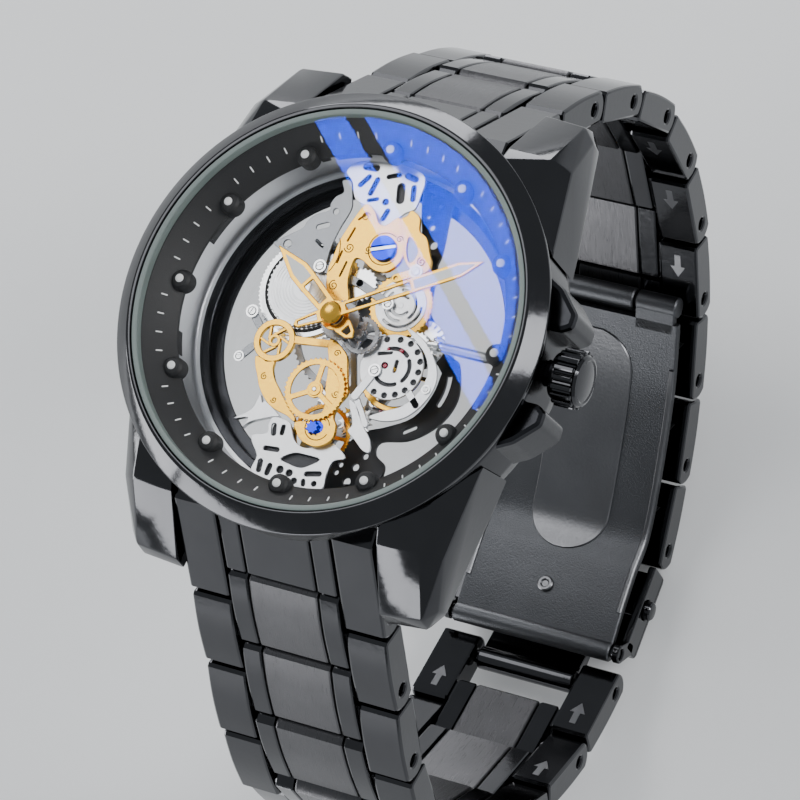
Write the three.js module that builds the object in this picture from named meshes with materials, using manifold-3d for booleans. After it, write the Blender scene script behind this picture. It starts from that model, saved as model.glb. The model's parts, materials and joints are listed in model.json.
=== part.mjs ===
// Skeleton wristwatch on a closed steel bracelet, in millimetres.
// +Z comes out of the dial, +Y points to 12 o'clock and +X to 3 o'clock, where the crown is.
// The origin is the centre of the case back's outer face.
import * as THREE from "three";
import { mergeVertices } from "three/addons/utils/BufferGeometryUtils.js";
import Module from "manifold-3d";

const wasm = await Module();
wasm.setup();

// Case
const RING_SIDES = 32;
const CASE_RADIUS = 20.6;
const CASE_TOP = 8.75;
const BEZEL_RADIUS = 21.05;
const BEZEL_TOP = 11.0;
const CRYSTAL_RADIUS = 18.45;
const CRYSTAL_BOTTOM = 10.1;
const GASKET_INNER = 18.6;
const GASKET_OUTER = 18.98;
const BEZEL_INNER = 19.13;
const DIAL_RING = { inner: 16.0, outer: 18.65, low: 7.3, high: 9.7, base: 6.95 };
const MOVEMENT_RING = { inner: 16.2, outer: 16.6, flange: 15.5, low: 1.95, high: 6.85 };
const BACK_RADIUS = 18.0;
const BACK_WINDOW = 14.6;
// Corners of the faceted lug that stands towards +X and +Y
const LUG_CORNERS = [
  [10.6, 17.6, 8.3], [10.6, 19.2, 7.2], [10.6, 24.4, 1.8], [10.6, 24.7, -0.3], [10.6, 22.4, -1.0], [10.6, 17.6, 0.5],
  [15.0, 14.4, 8.3], [14.9, 18.9, 7.0], [14.9, 24.0, 2.0], [14.9, 24.4, 0.0],
  [18.2, 10.0, 7.4], [16.6, 18.6, 5.4], [16.0, 22.8, 1.6], [16.0, 22.6, -0.3],
  [18.4, 9.6, 1.6], [15.9, 21.0, -0.8],
];

// Crown and stem, on an axis along X
const CROWN_Z = 5.6;
const CROWN = { start: 21.45, end: 24.5, radius: 2.7, flutes: 18 };
const TUBE_RADIUS = 1.15;
const STEM_RADIUS = 0.45;
const STEM_INNER_END = 8.5;

// Bracelet: a link is hinged at its own origin and carries the next hinge one pitch further on
const PITCH = 9.3;
const LINK = { half: 1.55, nose: 2.1, gap: 0.15, centre: 5.85, inner: 6.0, outer: 10.3 };
const NOSE_STEPS = 3;
const PIN_RADIUS = 0.5;
const PIN_HOLE = 0.62;
const FIRST_HINGE = { y: 23.8, z: -1.7 };
// Headings of the links below the horizontal, in degrees, from the case to the clasp
const HEADINGS_12 = [-55, -64, -78, -98, -115, -129, -142, -153, -163];
const HEADINGS_6 = [-56, -56, -65, -85, -105, -120, -135, -155];

// Going train: module, tooth counts and where each wheel stands
const TEETH = { addendum: 0.35, dedendum: 0.65 };
const BARREL_PAIR = { wheel: 76, pinion: 12, distance: 5.9, direction: 153 };
const CENTRE_PAIR = { wheel: 64, pinion: 8, distance: 6.715, direction: -93.8 };
const THIRD_PAIR = { wheel: 40, pinion: 8, distance: 3.6, direction: -73.8 };
const FOURTH_PAIR = { wheel: 56, pinion: 7, distance: 3.263, direction: 40 };
const MINUTE_PAIR = { wheel: 36, pinion: 12, distance: 2.4, direction: -20 };
const HOUR_PAIR = { wheel: 40, pinion: 10 };
const ESCAPE = { teeth: 15, tip: 1.75, root: 1.35 };
const BALANCE = { x: 6.0, y: -2.95, radius: 3.7 };

// Winding train
const WINDING_MODULE = 0.155;
const CONTRATE = { x: 7.3, y: 0, teeth: 24, inner: 1.9, outer: 2.4 };
const STEM_PINION = { teeth: 10, x0: 9.15, x1: 9.75, tip: 0.95 };
const CONTRATE_PINION_TEETH = 13;
const WINDING_WHEEL = { x: 4.5, teeth: 40 };
const IDLER_TEETH = 20;
const RATCHET_TEETH = 50;

// Heights of the movement's layers
const Z_SUPPORT = [1.98, 2.4];
const Z_MAINPLATE = [2.55, 3.1];
const Z_FRONT = [5.35, 5.6];
const Z_COCK = [5.7, 5.95];
const Z_GOLD = [5.75, 6.2];
const PIVOT = 0.22;
const PIVOT_HOLE = 0.3;

// Time shown: ten past ten
const MINUTE_ANGLE = 31;
const HOUR_ANGLE = 146;

const RAD = Math.PI / 180;

const COLOURS = {
  black: { color: 0x17181a, metalness: 0.9, roughness: 0.25 },
  blade: { color: 0x2b2d30, metalness: 0.8, roughness: 0.6 },
  matt: { color: 0x101113, metalness: 0.1, roughness: 0.8 },
  silver: { color: 0xd6d8da, metalness: 0.9, roughness: 0.3 },
  gold: { color: 0xe3b949, metalness: 0.95, roughness: 0.25 },
  glass: { color: 0xdfe8ef, metalness: 0, roughness: 0.05, transparent: true, opacity: 0.25 },
  rubber: { color: 0x6f7a76, metalness: 0, roughness: 0.6 },
  steel_blue: { color: 0x1433c8, metalness: 0.9, roughness: 0.25 },
};

const watch = new THREE.Group();

// ---------- helpers ----------

function solid(geometry) {
  const bare = geometry.index ? geometry.toNonIndexed() : geometry.clone();
  bare.deleteAttribute("normal");
  bare.deleteAttribute("uv");
  const merged = mergeVertices(bare, 1e-4);
  const index = merged.index.array;
  const kept = [];
  for (let i = 0; i < index.length; i += 3) {
    const [a, b, c] = [index[i], index[i + 1], index[i + 2]];
    if (a !== b && b !== c && c !== a) kept.push(a, b, c);
  }
  const vertProperties = merged.attributes.position.array;
  return new wasm.Manifold(new wasm.Mesh({ numProp: 3, vertProperties, triVerts: new Uint32Array(kept) }));
}

function geometryOf(made) {
  const mesh = made.getMesh();
  const geometry = new THREE.BufferGeometry();
  geometry.setAttribute("position", new THREE.BufferAttribute(new Float32Array(mesh.vertProperties), 3));
  geometry.setIndex(new THREE.BufferAttribute(new Uint32Array(mesh.triVerts), 1));
  geometry.computeVertexNormals();
  return geometry;
}

function union(solids) {
  return solids.reduce((whole, next) => whole.add(next));
}

function cut(whole, tools) {
  return tools.reduce((left, tool) => left.subtract(tool), whole);
}

function addNode(name, made, colour, parent = watch, place = [0, 0, 0]) {
  const mesh = new THREE.Mesh(geometryOf(made), new THREE.MeshStandardMaterial(COLOURS[colour]));
  mesh.name = name;
  mesh.position.set(...place);
  parent.add(mesh);
  return mesh;
}

function shapeOf(points, holes = []) {
  const shape = new THREE.Shape(points.map(([x, y]) => new THREE.Vector2(x, y)));
  for (const hole of holes) shape.holes.push(new THREE.Path(hole.map(([x, y]) => new THREE.Vector2(x, y))));
  return shape;
}

// A plate: an outline in XY between two heights.
function plate(points, z0, z1, holes = []) {
  const geometry = new THREE.ExtrudeGeometry(shapeOf(points, holes), { depth: z1 - z0, bevelEnabled: false });
  geometry.translate(0, 0, z0);
  return solid(geometry);
}

// A bar along X: an outline in YZ between two x values.
function barX(points, x0, x1) {
  const geometry = new THREE.ExtrudeGeometry(shapeOf(points), { depth: x1 - x0, bevelEnabled: false });
  geometry.translate(0, 0, x0);
  const axes = [new THREE.Vector3(0, 1, 0), new THREE.Vector3(0, 0, 1), new THREE.Vector3(1, 0, 0)];
  geometry.applyMatrix4(new THREE.Matrix4().makeBasis(...axes));
  return solid(geometry);
}

// The same bar on both sides of the middle.
function barPair(points, x0, x1) {
  return union([barX(points, x0, x1), barX(points, -x1, -x0)]);
}

function circle(radius, sides, x = 0, y = 0, phase = 0) {
  const at = (i) => phase + (i / sides) * 2 * Math.PI;
  return Array.from({ length: sides }, (_, i) => [x + radius * Math.cos(at(i)), y + radius * Math.sin(at(i))]);
}

function disc(radius, z0, z1, x = 0, y = 0, sides = 8) {
  return plate(circle(radius, sides, x, y), z0, z1);
}

function rodX(radius, x0, x1, y, z, sides = 6) {
  return barX(circle(radius, sides, y, z), x0, x1);
}

// A turned part: a closed profile of [radius, height] pairs, anticlockwise, about the Z axis.
function turned(profile, sides = RING_SIDES) {
  const closed = [...profile, profile[0]].map(([r, h]) => new THREE.Vector2(r, h));
  const geometry = new THREE.LatheGeometry(closed, sides);
  geometry.rotateX(Math.PI / 2);
  return solid(geometry);
}

// A straight strap with round ends between two points.
function strap(a, b, width, [z0, z1], sides = 2) {
  const along = Math.atan2(b[1] - a[1], b[0] - a[0]);
  const half = width / 2;
  const end = ([x, y], from) =>
    Array.from({ length: sides + 1 }, (_, i) => {
      const angle = from + (i / sides) * Math.PI;
      return [x + half * Math.cos(angle), y + half * Math.sin(angle)];
    });
  return plate([...end(b, along - Math.PI / 2), ...end(a, along + Math.PI / 2)], z0, z1);
}

// A curved strap: part of a ring about a centre, between two angles in degrees.
function arcOutline(x, y, inner, outer, from, to, steps) {
  const at = (radius, angle) => [x + radius * Math.cos(angle * RAD), y + radius * Math.sin(angle * RAD)];
  const angles = Array.from({ length: steps + 1 }, (_, i) => from + ((to - from) * i) / steps);
  return [...angles.map((a) => at(outer, a)), ...angles.reverse().map((a) => at(inner, a))];
}

function polar(distance, degrees, x = 0, y = 0) {
  return [x + distance * Math.cos(degrees * RAD), y + distance * Math.sin(degrees * RAD)];
}

// ---------- gears ----------

// One root and one tip point for each tooth; a tooth's tip lies at the phase angle.
function gearOutline(teeth, pitchRadius, phase) {
  const module = (2 * pitchRadius) / teeth;
  const tip = pitchRadius + TEETH.addendum * module;
  const root = pitchRadius - TEETH.dedendum * module;
  const step = (2 * Math.PI) / teeth;
  const points = [];
  for (let i = 0; i < teeth; i += 1) {
    const angle = phase + i * step;
    points.push([tip * Math.cos(angle), tip * Math.sin(angle)]);
    points.push([root * Math.cos(angle + step / 2), root * Math.sin(angle + step / 2)]);
  }
  return points;
}

// The phase that puts a gap of the second gear on a tooth of the first one.
function meshPhase(phase, teeth, otherTeeth, direction) {
  const turns = ((direction - phase) / (2 * Math.PI)) * teeth;
  const share = turns - Math.floor(turns);
  return direction + Math.PI - ((0.5 - share) * 2 * Math.PI) / otherTeeth;
}

// Openings between the spokes of a wheel.
function windows(count, inner, outer, spoke, phase = 0) {
  const step = 360 / count;
  return Array.from({ length: count }, (_, i) => {
    const middle = phase + (i + 0.5) * step;
    const wide = step / 2 - spoke / outer / RAD / 2;
    const narrow = Math.max(2, step / 2 - spoke / inner / RAD / 2);
    const arc = (radius, from, to, steps) =>
      Array.from({ length: steps + 1 }, (_, k) => polar(radius, from + ((to - from) * k) / steps));
    return [
      ...arc(outer, middle - wide, middle + wide, 4),
      ...arc(inner, middle + narrow, middle - narrow, 1),
    ];
  });
}

function gear(teeth, pitchRadius, phase, z0, z1, holes = []) {
  return plate(gearOutline(teeth, pitchRadius, phase), z0, z1, holes);
}

function pitchRadii(pair) {
  const module = (2 * pair.distance) / (pair.wheel + pair.pinion);
  return [(module * pair.wheel) / 2, (module * pair.pinion) / 2];
}

// Where a wheel stands that meshes with two others.
function meetPoint([ax, ay], ra, [bx, by], rb) {
  const apart = Math.hypot(bx - ax, by - ay);
  const along = (ra * ra - rb * rb + apart * apart) / (2 * apart);
  const off = Math.sqrt(ra * ra - along * along);
  const [ux, uy] = [(bx - ax) / apart, (by - ay) / apart];
  return [ax + ux * along - uy * off, ay + uy * along + ux * off];
}

const [barrelRadius, centrePinionRadius] = pitchRadii(BARREL_PAIR);
const [centreRadius, thirdPinionRadius] = pitchRadii(CENTRE_PAIR);
const [thirdRadius, fourthPinionRadius] = pitchRadii(THIRD_PAIR);
const [fourthRadius, escapePinionRadius] = pitchRadii(FOURTH_PAIR);
const [minuteRadius, cannonRadius] = pitchRadii(MINUTE_PAIR);
const [hourRadius, minutePinionRadius] = pitchRadii({ ...HOUR_PAIR, distance: MINUTE_PAIR.distance });

const barrelAt = polar(BARREL_PAIR.distance, BARREL_PAIR.direction);
const thirdAt = polar(CENTRE_PAIR.distance, CENTRE_PAIR.direction);
const fourthAt = polar(THIRD_PAIR.distance, THIRD_PAIR.direction, ...thirdAt);
const escapeAt = polar(FOURTH_PAIR.distance, FOURTH_PAIR.direction, ...fourthAt);
const minuteAt = polar(MINUTE_PAIR.distance, MINUTE_PAIR.direction);
const balanceAt = [BALANCE.x, BALANCE.y];
const palletAt = escapeAt.map((value, i) => value + (balanceAt[i] - value) * 0.4);

const windingRadius = (teeth) => (WINDING_MODULE * teeth) / 2;
const windingReach = windingRadius(CONTRATE_PINION_TEETH) + windingRadius(WINDING_WHEEL.teeth);
const windingAt = [WINDING_WHEEL.x, Math.sqrt(windingReach ** 2 - (CONTRATE.x - WINDING_WHEEL.x) ** 2)];
const idlerAt = meetPoint(
  barrelAt,
  windingRadius(RATCHET_TEETH) + windingRadius(IDLER_TEETH),
  windingAt,
  windingRadius(WINDING_WHEEL.teeth) + windingRadius(IDLER_TEETH),
);

function directionOf(a, b) {
  return Math.atan2(b[1] - a[1], b[0] - a[0]);
}

// ---------- case ----------

function caseMiddle() {
  const body = turned([
    [17.2, 0.05], [19.3, 0.05], [20.3, 1.3], [CASE_RADIUS, 3.0],
    [CASE_RADIUS, 8.1], [20.2, CASE_TOP], [17.2, CASE_TOP],
  ]);
  const lugs = [[1, 1], [-1, 1], [1, -1], [-1, -1]].map(([sx, sy]) =>
    wasm.Manifold.hull(LUG_CORNERS.map(([x, y, z]) => [sx * x, sy * y, z])));
  const guards = [1, -1].map((side) => {
    const outline = [[17, 3.4], [21.6, 3.4], [22.5, 3.9], [22.5, 5.4], [20.4, 7.6], [17, 9.4]];
    const points = outline.map(([x, y]) => [x, side * y]);
    return plate(side > 0 ? points : points.reverse(), 2.2, 8.0);
  });
  const bore = turned([
    [0, -1], [BACK_RADIUS + 0.12, -1], [BACK_RADIUS + 0.12, 1.5], [16.75, 1.5], [16.75, 6.9],
    [18.8, 6.9], [18.8, 10], [0, 10],
  ]);
  const tubeHole = rodX(1.25, 15, 23, 0, CROWN_Z, 12);
  return cut(union([body, ...lugs, ...guards]), [bore, tubeHole]);
}

function bezel() {
  return turned([
    [BEZEL_INNER, 8.85], [20.2, 8.85], [BEZEL_RADIUS, 9.25], [BEZEL_RADIUS, 9.75],
    [BEZEL_INNER + 0.12, BEZEL_TOP], [BEZEL_INNER, BEZEL_TOP],
  ]);
}

function crystal() {
  const top = BEZEL_TOP - 0.05;
  return turned([[0, CRYSTAL_BOTTOM], [CRYSTAL_RADIUS, CRYSTAL_BOTTOM], [CRYSTAL_RADIUS, top], [0, top]]);
}

function crystalGasket() {
  const [low, high] = [9.85, BEZEL_TOP - 0.1];
  return turned([[GASKET_INNER, low], [GASKET_OUTER, low], [GASKET_OUTER, high], [GASKET_INNER, high]]);
}

function chapterRing() {
  const { inner, outer, low, high, base } = DIAL_RING;
  return turned([[inner, base], [outer, base], [outer, high], [inner, low]]);
}

function movementRing() {
  const { inner, outer, flange, low, high } = MOVEMENT_RING;
  const ring = turned([
    [flange, low], [outer, low], [outer, high], [inner, high], [inner, low + 0.45], [flange, low + 0.45],
  ]);
  return cut(ring, [rodX(0.75, 14, 18, 0, CROWN_Z)]);
}

function caseBack() {
  const ledge = BACK_WINDOW - 0.7;
  return turned([
    [BACK_WINDOW, 0], [BACK_RADIUS, 0], [BACK_RADIUS, 1.4], [ledge, 1.4], [ledge, 1.1], [BACK_WINDOW, 1.1],
  ]);
}

function rearCrystal() {
  return turned([[0, 0], [BACK_WINDOW - 0.1, 0], [BACK_WINDOW - 0.1, 1.0], [0, 1.0]]);
}

function crownTube() {
  const tube = rodX(TUBE_RADIUS, 19.2, 22.2, 0, CROWN_Z, 12);
  return cut(tube, [rodX(0.6, 15, 25, 0, CROWN_Z, 12)]);
}

function crown() {
  const { start, end, radius, flutes } = CROWN;
  const step = (2 * Math.PI) / flutes;
  const outline = [];
  for (let i = 0; i < flutes; i += 1) {
    for (const [share, r] of [[0.1, radius], [0.55, radius], [0.7, radius - 0.35], [0.95, radius - 0.35]]) {
      const angle = (i + share) * step;
      outline.push([r * Math.cos(angle), CROWN_Z + r * Math.sin(angle)]);
    }
  }
  const barrel = barX(outline, start + 0.45, end - 0.55);
  const collar = rodX(radius - 0.6, start, start + 0.5, 0, CROWN_Z, 16);
  const cap = rodX(radius - 0.4, end - 0.6, end, 0, CROWN_Z, 16);
  const recess = rodX(TUBE_RADIUS + 0.4, start - 1, 22.4, 0, CROWN_Z, 12);
  const stemHole = rodX(STEM_RADIUS + 0.08, start - 1, end - 1.2, 0, CROWN_Z);
  return cut(union([barrel, collar, cap]), [stemHole, recess]);
}

// The seal that rides on the crown's tube.
function crownGasket() {
  const ring = rodX(TUBE_RADIUS + 0.33, 21.5, 21.85, 0, CROWN_Z, 12);
  return cut(ring, [rodX(TUBE_RADIUS + 0.07, 21, 23, 0, CROWN_Z, 12)]);
}

function windingStem() {
  return rodX(STEM_RADIUS, STEM_INNER_END, CROWN.end - 1.4, 0, CROWN_Z);
}

// ---------- movement: plates and bridges ----------

function supportPlate() {
  const stripPoints = [
    [1.2, 15.2], [4.6, 14.8], [5.4, 8.8], [6.6, 4.6], [9.9, 1.2], [11.2, -0.6], [9.2, -0.8], [7.4, 0.4],
    [4.6, 3.4], [3.6, 8.4], [2.2, 11.6],
  ];
  const strip = plate(stripPoints, ...Z_SUPPORT);
  const arc = plate(arcOutline(0, 0, 9.6, 12.2, -1, -86, 9), ...Z_SUPPORT);
  const foot = plate([[-3.6, -14.8], [4.4, -14.6], [5.6, -10.2], [0.6, -9.4], [-2.2, -11.5]], ...Z_SUPPORT);
  const holes = [[3.7, 12.2], [4.4, 9.6], [-1.4, -13.2], [1.4, -13.4]].map(([x, y]) => disc(0.4, 1, 4, x, y, 8));
  return cut(union([strip, arc, foot]), holes);
}

function mainplate() {
  const arms = [
    strap([0, 0], thirdAt, 2.0, Z_MAINPLATE), strap([0, 0], [-1.2, 14.5], 2.4, Z_MAINPLATE),
    strap(thirdAt, [-1.0, -14.5], 2.4, Z_MAINPLATE), strap(escapeAt, fourthAt, 1.4, Z_MAINPLATE),
    strap(palletAt, escapeAt, 1.4, Z_MAINPLATE), strap(palletAt, balanceAt, 1.4, Z_MAINPLATE),
    strap(balanceAt, [0, 0], 1.4, Z_MAINPLATE), strap([0, 0], [-9.4, -0.8], 1.6, Z_MAINPLATE),
    strap([-1, -3.4], [-9.0, -5.3], 1.3, Z_MAINPLATE),
  ];
  const ends = [
    plate([[-4.4, 14.6], [4.0, 14.6], [3.0, 15.6], [-3.4, 15.6]].reverse(), ...Z_MAINPLATE),
    plate([[-4.4, -14.6], [4.0, -14.6], [3.0, -15.6], [-3.4, -15.6]], ...Z_MAINPLATE),
  ];
  const bearings = [[0, 0], thirdAt, fourthAt, escapeAt, palletAt, balanceAt];
  const bosses = bearings.map(([x, y]) => disc(0.95, ...Z_MAINPLATE, x, y));
  return cut(union([...arms, ...ends, ...bosses]), bearings.map(([x, y]) => disc(PIVOT_HOLE, 2, 4, x, y, 6)));
}

function frontPlate() {
  const top = plate(arcOutline(0, 0, 9.4, 16.05, 72, 112, 6), ...Z_FRONT);
  const bottom = plate(arcOutline(0, 0, 11.6, 16.05, -110, -66, 6), ...Z_FRONT);
  const topWindows = [
    arcOutline(0, 0, 13.9, 15.2, 76, 88, 3), arcOutline(0, 0, 13.9, 15.2, 94, 107, 3),
    arcOutline(0, 0, 10.6, 12.7, 76, 86, 2), arcOutline(0, 0, 10.6, 12.7, 96, 108, 2),
  ];
  const bottomWindows = [
    arcOutline(0, 0, 13.6, 15.0, -105, -92, 3), arcOutline(0, 0, 13.6, 15.0, -86, -72, 3),
  ];
  const arms = [
    strap(idlerAt, [-0.4, 10.4], 1.6, Z_FRONT), strap(idlerAt, barrelAt, 1.2, Z_FRONT),
    strap(idlerAt, windingAt, 1.2, Z_FRONT), strap(windingAt, [CONTRATE.x, CONTRATE.y], 1.1, Z_FRONT),
    strap(minuteAt, [CONTRATE.x, CONTRATE.y], 0.9, Z_FRONT), strap(minuteAt, [4.6, -5.4], 0.9, Z_FRONT),
    strap([4.6, -5.4], escapeAt, 1.1, Z_FRONT), strap(escapeAt, [3.4, -12.4], 1.1, Z_FRONT),
  ];
  const bearings = [barrelAt, idlerAt, windingAt, [CONTRATE.x, CONTRATE.y], minuteAt, escapeAt];
  const bosses = bearings.map(([x, y]) => disc(0.8, ...Z_FRONT, x, y));
  const holes = bearings.map(([x, y]) => disc(PIVOT_HOLE, 5, 6, x, y, 6));
  const openings = [...topWindows, ...bottomWindows].map((points) => plate(points, 5, 6));
  return cut(union([top, bottom, ...arms, ...bosses]), [...holes, ...openings]);
}

function goldBridgeUpper() {
  const sweepPoints = [
    [-3.2, 2.6], [-3.4, 5.6], [-2.9, 8.4], [-1.2, 11.4], [0.6, 10.9], [1.6, 9.7], [2.9, 9.2],
    [4.0, 8.4], [4.1, 6.4], [2.6, 5.6], [0.4, 5.9], [-0.9, 4.2], [-1.9, 2.3],
  ];
  const lobePoints = [[2.6, 10.4], [5.0, 9.9], [6.4, 7.4], [5.9, 4.9], [4.2, 5.4], [3.6, 8.2]];
  const sweep = plate(sweepPoints.reverse(), ...Z_GOLD);
  const lobe = plate(lobePoints.reverse(), ...Z_GOLD);
  return cut(union([sweep, lobe]), [disc(0.9, 5, 7, 1.5, 7.6, 12), disc(0.35, 5, 7, 4.9, 6.3, 8)]);
}

function goldBridgeLower() {
  const [tx, ty] = thirdAt;
  const [fx, fy] = fourthAt;
  const tailPoints = [[-3.4, -9.8], [2.2, -10.2], [3.2, -7.0], [2.6, -4.0], [0.8, -2.9], [0.2, -5.0], [-2.8, -8.6]];
  const parts = [
    disc(2.05, ...Z_GOLD, -6.14, -3.08, 18),
    plate(arcOutline(tx, ty, 3.3, 4.9, 150, 236, 5), ...Z_GOLD),
    plate([[-4.9, -3.6], [-4.3, -8.9], [-2.6, -9.9], [-2.9, -6.0], [-4.2, -2.6]], ...Z_GOLD),
    plate(tailPoints, ...Z_GOLD),
    disc(1.9, ...Z_GOLD, fx, fy, 14),
  ];
  const pivotHoles = [thirdAt, fourthAt].map(([x, y]) => disc(PIVOT_HOLE, 5, 7, x, y, 6));
  const holes = [disc(1.45, 5, 7, -6.14, -3.08, 18), ...pivotHoles];
  return cut(union(parts), holes);
}

function balanceCock() {
  const [x, y] = balanceAt;
  const parts = [
    disc(3.1, ...Z_COCK, x, y, 20),
    plate(arcOutline(x, y, 3.0, 3.9, -140, 26, 10), ...Z_COCK),
    strap([x - 1.6, y + 0.4], [x - 2.9, y - 0.8], 1.1, Z_COCK),
  ];
  const holes = [disc(PIVOT_HOLE, 5, 7, x, y, 6)];
  for (let i = 0; i < 10; i += 1) {
    const [hx, hy] = polar(2.55, 40 - i * 26, x, y);
    holes.push(disc(0.3, 5, 7, hx, hy, 6));
  }
  holes.push(plate(arcOutline(x, y, 0.9, 1.6, 20, 110, 4), 5, 7));
  return cut(union(parts), holes);
}

// ---------- movement: wheels ----------

const PHASE = {};
PHASE.barrel = 0;
PHASE.centrePinion = meshPhase(PHASE.barrel, BARREL_PAIR.wheel, BARREL_PAIR.pinion, directionOf(barrelAt, [0, 0]));
PHASE.centre = 0;
PHASE.thirdPinion = meshPhase(PHASE.centre, CENTRE_PAIR.wheel, CENTRE_PAIR.pinion, directionOf([0, 0], thirdAt));
PHASE.third = 0;
PHASE.fourthPinion = meshPhase(PHASE.third, THIRD_PAIR.wheel, THIRD_PAIR.pinion, directionOf(thirdAt, fourthAt));
PHASE.fourth = 0;
PHASE.escapePinion = meshPhase(PHASE.fourth, FOURTH_PAIR.wheel, FOURTH_PAIR.pinion, directionOf(fourthAt, escapeAt));
PHASE.cannon = 0;
PHASE.minute = meshPhase(PHASE.cannon, MINUTE_PAIR.pinion, MINUTE_PAIR.wheel, directionOf([0, 0], minuteAt));
PHASE.minutePinion = 0;
PHASE.hour = meshPhase(PHASE.minutePinion, HOUR_PAIR.pinion, HOUR_PAIR.wheel, directionOf(minuteAt, [0, 0]));
PHASE.contratePinion = 0;
PHASE.winding = meshPhase(
  PHASE.contratePinion, CONTRATE_PINION_TEETH, WINDING_WHEEL.teeth, directionOf([CONTRATE.x, CONTRATE.y], windingAt));
PHASE.idler = meshPhase(PHASE.winding, WINDING_WHEEL.teeth, IDLER_TEETH, directionOf(windingAt, idlerAt));
PHASE.ratchet = meshPhase(PHASE.idler, IDLER_TEETH, RATCHET_TEETH, directionOf(idlerAt, barrelAt));

function barrel() {
  const drum = disc(4.7, 3.95, 4.85, 0, 0, 16);
  const teeth = gear(BARREL_PAIR.wheel, barrelRadius, PHASE.barrel, 4.2, 4.45);
  return cut(union([drum, teeth]), [disc(0.58, 3, 6, 0, 0, 10)]);
}

function centreWheel() {
  const wheel = gear(
    CENTRE_PAIR.wheel, centreRadius, PHASE.centre, 3.4, 3.65, windows(4, 1.5, centreRadius - 0.7, 0.6, 20));
  const pinion = gear(BARREL_PAIR.pinion, centrePinionRadius, PHASE.centrePinion, 3.6, 4.9);
  const arbor = [disc(0.45, 3.15, 3.5), disc(PIVOT, 2.6, 3.3, 0, 0, 6), disc(0.32, 4.8, 9.1)];
  return union([wheel, pinion, ...arbor]);
}

function thirdWheel() {
  const openings = windows(3, 0.75, thirdRadius - 0.55, 0.45, 90);
  const wheel = gear(THIRD_PAIR.wheel, thirdRadius, PHASE.third, 6.3, 6.5, openings);
  const pinion = gear(CENTRE_PAIR.pinion, thirdPinionRadius, PHASE.thirdPinion, 3.3, 3.8);
  return union([wheel, pinion, disc(PIVOT, 2.6, 6.65, 0, 0, 6)]);
}

function fourthWheel() {
  const openings = windows(4, 0.7, fourthRadius - 0.5, 0.35);
  const wheel = gear(FOURTH_PAIR.wheel, fourthRadius, PHASE.fourth, 4.1, 4.3, openings);
  const pinion = gear(THIRD_PAIR.pinion, fourthPinionRadius, PHASE.fourthPinion, 6.25, 6.6);
  return union([wheel, pinion, disc(PIVOT, 2.6, 6.4, 0, 0, 6)]);
}

function escapeWheel() {
  const points = [];
  for (let i = 0; i < ESCAPE.teeth; i += 1) {
    points.push(polar(ESCAPE.tip, (i * 360) / ESCAPE.teeth));
    points.push(polar(ESCAPE.root, ((i + 0.35) * 360) / ESCAPE.teeth));
    points.push(polar(ESCAPE.root, ((i + 0.75) * 360) / ESCAPE.teeth));
  }
  const wheel = plate(points, 3.4, 3.6, windows(4, 0.5, 1.1, 0.25));
  const pinion = gear(FOURTH_PAIR.pinion, escapePinionRadius, PHASE.escapePinion, 4.0, 4.4);
  return union([wheel, pinion, disc(PIVOT - 0.02, 2.6, 5.55, 0, 0, 6)]);
}

// The fork lies along +X from its arbor, with the pallets across its back.
function palletFork() {
  const z = [3.4, 3.6];
  const parts = [
    strap([-0.2, 0], [2.5, 0], 0.5, z), strap([-0.1, -1.35], [-0.1, 1.35], 0.45, z),
    plate([
      [2.3, -0.45], [3.05, -0.5], [3.05, -0.22], [2.6, -0.18],
      [2.6, 0.18], [3.05, 0.22], [3.05, 0.5], [2.3, 0.45],
    ], ...z),
    disc(PIVOT - 0.02, 2.6, 3.95, 0, 0, 6),
  ];
  return union(parts);
}

function balanceWheel() {
  const rim = plate(circle(BALANCE.radius, 24), 4.1, 4.45, windows(3, 0.7, BALANCE.radius - 0.5, 0.4));
  return union([rim, disc(0.5, 3.7, 4.2, 0, 0, 8), disc(PIVOT, 2.6, 5.9, 0, 0, 6)]);
}

function hairspring() {
  const turns = 3.5;
  const steps = 42;
  const edge = (side) =>
    Array.from({ length: steps + 1 }, (_, i) => {
      const share = i / steps;
      return polar(0.85 + 1.5 * share + side * 0.06, share * turns * 360);
    });
  return plate([...edge(1), ...edge(-1).reverse()], 3.8, 3.95);
}

function cannonPinion() {
  const pinion = gear(MINUTE_PAIR.pinion, cannonRadius, PHASE.cannon, 6.35, 6.7);
  return cut(union([pinion, disc(0.56, 6.6, 8.85, 0, 0, 10)]), [disc(0.4, 6, 10, 0, 0, 10)]);
}

function minuteWheel() {
  const wheel = gear(MINUTE_PAIR.wheel, minuteRadius, PHASE.minute, 6.35, 6.55);
  const pinion = gear(HOUR_PAIR.pinion, minutePinionRadius, PHASE.minutePinion, 6.5, 7.05);
  return union([wheel, pinion, disc(PIVOT, 5.3, 6.4, 0, 0, 6)]);
}

function hourWheel() {
  const wheel = gear(HOUR_PAIR.wheel, hourRadius, PHASE.hour, 6.8, 7.0);
  return cut(union([wheel, disc(0.85, 6.9, 8.15, 0, 0, 10)]), [disc(0.66, 6, 10, 0, 0, 10)]);
}

function windingPinion() {
  const { teeth, x0, x1, tip } = STEM_PINION;
  const root = tip - 0.3;
  const points = [];
  for (let i = 0; i < teeth; i += 1) {
    for (const [share, radius] of [[-0.14, tip], [0.14, tip], [0.3, root], [0.7, root]]) {
      const angle = ((i + share) / teeth) * 2 * Math.PI - Math.PI / 2;
      points.push([radius * Math.cos(angle), CROWN_Z + radius * Math.sin(angle)]);
    }
  }
  return cut(barX(points, x0, x1), [rodX(STEM_RADIUS + 0.08, x0 - 1, x1 + 1, 0, CROWN_Z)]);
}

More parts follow.
